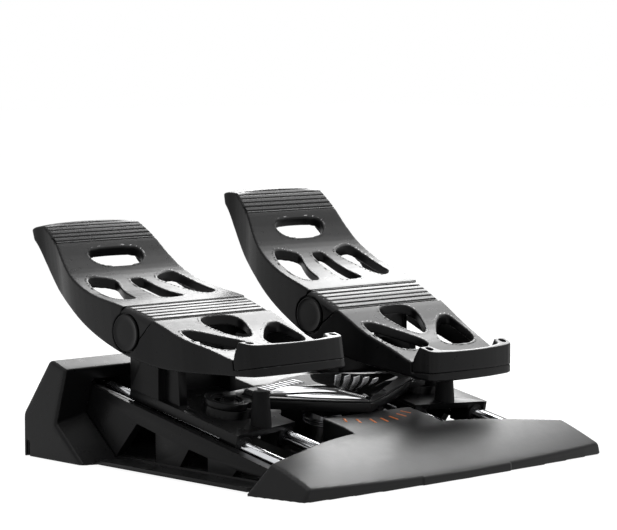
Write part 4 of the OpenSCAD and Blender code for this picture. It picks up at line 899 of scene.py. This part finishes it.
panelSkin = skinOf(panelField, **panel["grid"])
housingSkin = skinOf(housingField, **housing["grid"])
print("stage 5: panel and housing", len(panelSkin[1]), len(housingSkin[1]))
for name, skin, node, finish in (
        ("frontPanel", panelSkin, "front_panel", "panelPlastic"),
        ("rearHousing", housingSkin, "rear_housing", "satinPlastic")):
    points, quads, normals = skin
    meshPiece(name, inBase(points), quads, finish, "base", (node,), normals)

# CAD nodes that keep their shape with rounded edges: name, finish, edge width in mm, slot
softened = {
    "base_tray": ("floorTray", "satinPlastic", 0.8, "base_plastic"),
    "electronics_cover": ("boardCover", "satinPlastic", 0.9, "base_plastic"),
    "front_rail_clamps": ("frontRodClamps", "satinPlastic", 0.5, "base_plastic"),
    "rear_rail_clamps": ("rearRodStrips", "screwSteel", 0.2, "steel_parts"),
    "rocker_post": ("rockerPost", "postSteel", 0.3, "post_steel"),
    "rudder_sensor": ("rudderSensor", "sensorPlastic", 0.6, "sensor_plastic"),
    "circuit_board": ("controlBoard", "boardResin", 0.1, "board"),
    "cable_gland": ("cordGland", "footRubber", 0.3, "rubber_parts"),
    "rubber_feet": ("rubberFeet", "footRubber", 0.2, "rubber_parts"),
    "base_screws": ("baseScrews", "screwSteel", 0.15, "steel_parts"),
    "rocker_arm": ("rockerArm", "satinPlastic", 0.9, "base_plastic"),
    "rocker_bush": ("rockerBush", "bearingPlastic", 0.3, "bearing_plastic"),
    "shield_cover": ("shieldCover", "satinPlastic", 0.9, "shield_gloss"),
}
bothSides = {
    "outer_rail": ("OuterRod", "rodChrome", 0.6, "rod_chrome"),
    "inner_rail": ("InnerRod", "rodChrome", 0.6, "rod_chrome"),
    "carriage": ("Carriage", "satinPlastic", 0.8, "base_plastic"),
    "slide_bushes": ("SlideBushes", "slideBushPlastic", 0.3, "bush_plastic"),
    "drive_roller": ("DriveRoller", "sensorPlastic", 0.5, "post_steel"),
    "bump_stop": ("BumpStop", "footRubber", 0.5, "rubber_parts"),
    "brake_sensor": ("BrakeSensor", "sensorPlastic", 0.6, "sensor_plastic"),
    "pedal_axle": ("PedalAxle", "postSteel", 0.2, "post_steel"),
    "heel_screws": ("HeelScrews", "screwSteel", 0.15, "steel_parts"),
}
bodyOf = {node: body for body, members in frame["record"]["behaviour"]["bodies"].items()
          for node in members}
for node, (name, finish, width, slot) in softened.items():
    softEdged(node, name, finish, bodyOf[node], width)
for side in sides:
    for part, (name, finish, width, slot) in bothSides.items():
        node = side + "_" + part
        softEdged(node, side + name, finish, bodyOf[node], width)
print("stage 6: rounded pieces made")

# The side beams' top corners, at this height over the rods' plane, and how far they come down
beamTrim = {"middle": 139, "half": 5, "top": 2.5, "near": 0.3, "back": 70, "drop": 3.0}


# The tray's side beams stand a little lower than their CAD solids, so that the rods show
def trimBeams(piece, t):
    mesh = piece.data
    points = verticesOf(mesh)
    place = points / mm - [0, baseY, 0]
    v, w = alongRail(place[:, 1], place[:, 2])
    beam = np.abs(np.abs(place[:, 0]) - t["middle"]) < t["half"]
    rim = beam & (np.abs(w - t["top"]) < t["near"]) & (v < t["back"])
    points[rim, 2] -= t["drop"] * mm
    print("stage 6: beam corners lowered", int(rim.sum()))
    mesh.vertices.foreach_set("co", points.ravel())
    mesh.update()


trimBeams(bpy.data.objects["floorTray"], beamTrim)


# A round wire: rings of the radius set square to the path, each end closed by one point
def tubeAlong(path, radius, around=12):
    path = np.asarray(path, float)
    ahead = np.gradient(path, axis=0)
    ahead /= np.linalg.norm(ahead, axis=1)[:, None]
    side = np.cross(ahead, [1.0, 0, 0])
    side /= np.linalg.norm(side, axis=1)[:, None]
    up = np.cross(side, ahead)
    angle = 2 * np.pi * np.arange(around) / around
    rings = (path[:, None] + radius * (side[:, None] * np.cos(angle)[None, :, None]
                                       + up[:, None] * np.sin(angle)[None, :, None]))
    points = np.vstack([rings.reshape(-1, 3), path[:1], path[-1:]])
    ring = list(range(around))
    pairs = list(zip(ring, ring[1:] + ring[:1]))
    last, pole = (len(path) - 1) * around, len(points) - 2
    ends = [[pole, b, a] for a, b in pairs] + [[pole + 1, last + a, last + b] for a, b in pairs]
    return points, ringQuads(len(path), around).tolist() + ends


# Coil: a point going round the axis while it moves along it
def coilPath(radius, pitch, turns, start, steps=30):
    turn = np.arange(turns * steps + 1) / steps
    return np.stack([start + pitch * turn, radius * np.cos(2 * np.pi * turn),
                     radius * np.sin(2 * np.pi * turn)], axis=1)


# Places across, along and over the rods' plane, to metres of the scene
def onRail(points):
    return inBase(turned(points, deckSlope) + [0, 0, deckZ])


brakeSpring = {"radius": 7.5, "pitch": 2.8, "turns": 7, "start": -6, "wire": 1.1, "leg": 24.6,
               "legShares": (1, 0.7, 0.4, 0.15)}
homeSpring = {"radius": 15.3, "pitch": 3, "turns": 2, "low": -8, "wire": 1.0, "leg": 9,
              "legShares": (0.4, 0.7, 1)}
b = brakeSpring
coil = coilPath(b["radius"], b["pitch"], b["turns"], b["start"])
leg = [[b["start"], b["radius"], -b["leg"] * share] for share in b["legShares"]]
wire, wireFaces = tubeAlong(np.vstack([leg, coil]), b["wire"])
for side, sign in (("left", -1), ("right", 1)):
    meshPiece(side + "BrakeSpring", (wire * [sign, 1, 1] + axlePlace[side]) * mm,
              [face[::sign] for face in wireFaces], "screwSteel",
              bodyOf[side + "_brake_spring"], (side + "_brake_spring",))
h = homeSpring
coil = coilPath(h["radius"], h["pitch"], h["turns"], 0)
leg = [[coil[-1][0], h["radius"], h["leg"] * share] for share in h["legShares"]]
points, faces = tubeAlong(np.vstack([coil, leg]), h["wire"])
points = np.stack([-points[:, 2], points[:, 1] + pivotV, points[:, 0] + h["low"]], axis=1)
meshPiece("homeSpring", onRail(points), faces, "screwSteel", bodyOf["centring_spring"],
          ("centring_spring",))


# Thin raised strip between two curves: a section of four corners carried along them
def stripBetween(first, second, low, high):
    first, second = np.asarray(first, float), np.asarray(second, float)
    low, high = (np.broadcast_to(v, len(first)) for v in (low, high))
    corners = [np.column_stack([edge, level]) for edge, level in
               ((first, low), (first, high), (second, high), (second, low))]
    points = np.stack(corners, axis=1).reshape(-1, 3)
    last = (len(first) - 1) * 4
    ends = [[0, 1, 2, 3], [last + 3, last + 2, last + 1, last]]
    return points, ringQuads(len(first), 4)[:, [0, 3, 2, 1]].tolist() + ends


# Several strips as one mesh
def joined(strips):
    points, faces, count = [], [], 0
    for p, f in strips:
        points.append(p)
        faces += [[i + count for i in face] for face in f]
        count += len(p)
    return np.vstack(points), faces


# Seven ticks on the panel's tongue, on rays from the rocker's pivot
ticks = {"angles": (-31.6, -21.8, -10.4, 0, 10.4, 21.8, 31.6), "from": 58.8, "to": 67.0,
         "width": 1.9, "pivotY": -7.0, "raise": 0.14, "sink": 0.4, "steps": 9}


# Each tick is a strip along its ray, at the height of the panel's top curve
def tickStrips(t):
    strips = []
    for degrees in t["angles"]:
        a = math.radians(degrees)
        ray, across = np.array([math.sin(a), -math.cos(a)]), np.array([math.cos(a), math.sin(a)])
        middle = ray * np.linspace(t["from"], t["to"], t["steps"])[:, None] + [0, t["pivotY"]]
        half = across * t["width"] / 2
        top = np.interp(middle[:, 1], panelTop[:, 0], panelTop[:, 1])
        strips.append(stripBetween(middle - half, middle + half, top - t["sink"],
                                   top + t["raise"]))
    return joined(strips)


points, faces = tickStrips(ticks)
meshPiece("tongueTicks", inBase(points), faces, "tickOrange", "base", ())

# Glossy face set into the rocker's cover, between a front and a back curve
shield = {
    "front": [(-77, -9.0), (-60, -17.6), (-45, -26.0), (-28, -33.6), (-12, -40.6), (0, -45.4),
              (12, -38.6), (28, -30.0), (45, -21.0), (60, -13.0), (74, -4.5)],
    "back": [(-77, 9.6), (-60, 11.6), (-45, 14.0), (-28, 20.0), (-12, 23.8), (0, 24.6),
             (12, 23.4), (28, 18.6), (45, 12.4), (60, 9.0), (74, 5.0)],
    "top": 23.9, "raise": 0.25, "sink": 0.5,
}


def shieldStrips(curveA, curveB, raised, steps=8):
    a, b = curveThrough(curveA, steps), curveThrough(curveB, steps)
    return stripBetween(a, b, shield["top"] - shield["sink"], shield["top"] + raised)


def shieldPiece(name, strips, finish):
    points, faces = joined(strips)
    points = points + [0, pivotV, 0]
    meshPiece(name, onRail(points), faces, finish, "rocker", ())


shieldPiece("shieldFace", [shieldStrips(shield["front"], shield["back"], shield["raise"])],
            "shieldGloss")

# Silver trim on the glossy face: a leaf and a wing between two curves each, and three rows
# of bars, a comb at the left, slanted slits at the right and a ladder in the middle
trim = {
    "leaf": ([(-58, -16.2), (-42, -24.8), (-26, -31.6), (-12, -37.4), (-3, -41.0)],
             [(-58, -13.4), (-42, -16.6), (-26, -20.6), (-12, -29.4), (-3, -40.2)]),
    "wing": ([(-66, -6.5), (-52, -9.6), (-38, -12.0), (-24, -14.8), (-10, -20.5)],
             [(-66, -4.0), (-52, 2.6), (-38, 3.4), (-24, -4.6), (-10, -18.9)]),
    "bars": {"count": 9, "from": (-66, 9.8), "step": (5.4, 1.0), "reach": (4.6, -8.6),
             "width": 2.6},
    "slits": {"count": 5, "from": (22, 14.6), "step": (6.0, -4.6), "reach": (8.4, 2.2),
              "width": 0.8},
    "ladder": {"count": 15, "from": (-6, -19.0), "step": (0.62, -1.42), "reach": (2.6, 1.1),
               "width": 0.7},
    "raise": 0.42,
}


# A row of straight bars: each begins one step after the last and runs along the same reach
def barStrips(rule, steps=4):
    start, step, reach = (np.array(rule[k], float) for k in ("from", "step", "reach"))
    across = np.array([-reach[1], reach[0]]) / np.linalg.norm(reach) * rule["width"] / 2
    strips = []
    for number in range(rule["count"]):
        middle = start + step * number + reach * np.linspace(0, 1, steps)[:, None]
        strips.append(stripBetween(middle - across, middle + across, shield["top"],
                                   shield["top"] + trim["raise"]))
    return strips


shieldPiece("shieldLeaf", [shieldStrips(*trim[key], trim["raise"], steps=5)
                           for key in ("leaf", "wing")], "inlaySilver")
shieldPiece("shieldBars", barStrips(trim["bars"]) + barStrips(trim["slits"])
            + barStrips(trim["ladder"]), "inlaySilver")
print("stage 7: springs, ticks and shield made")

print("stage 8: done")
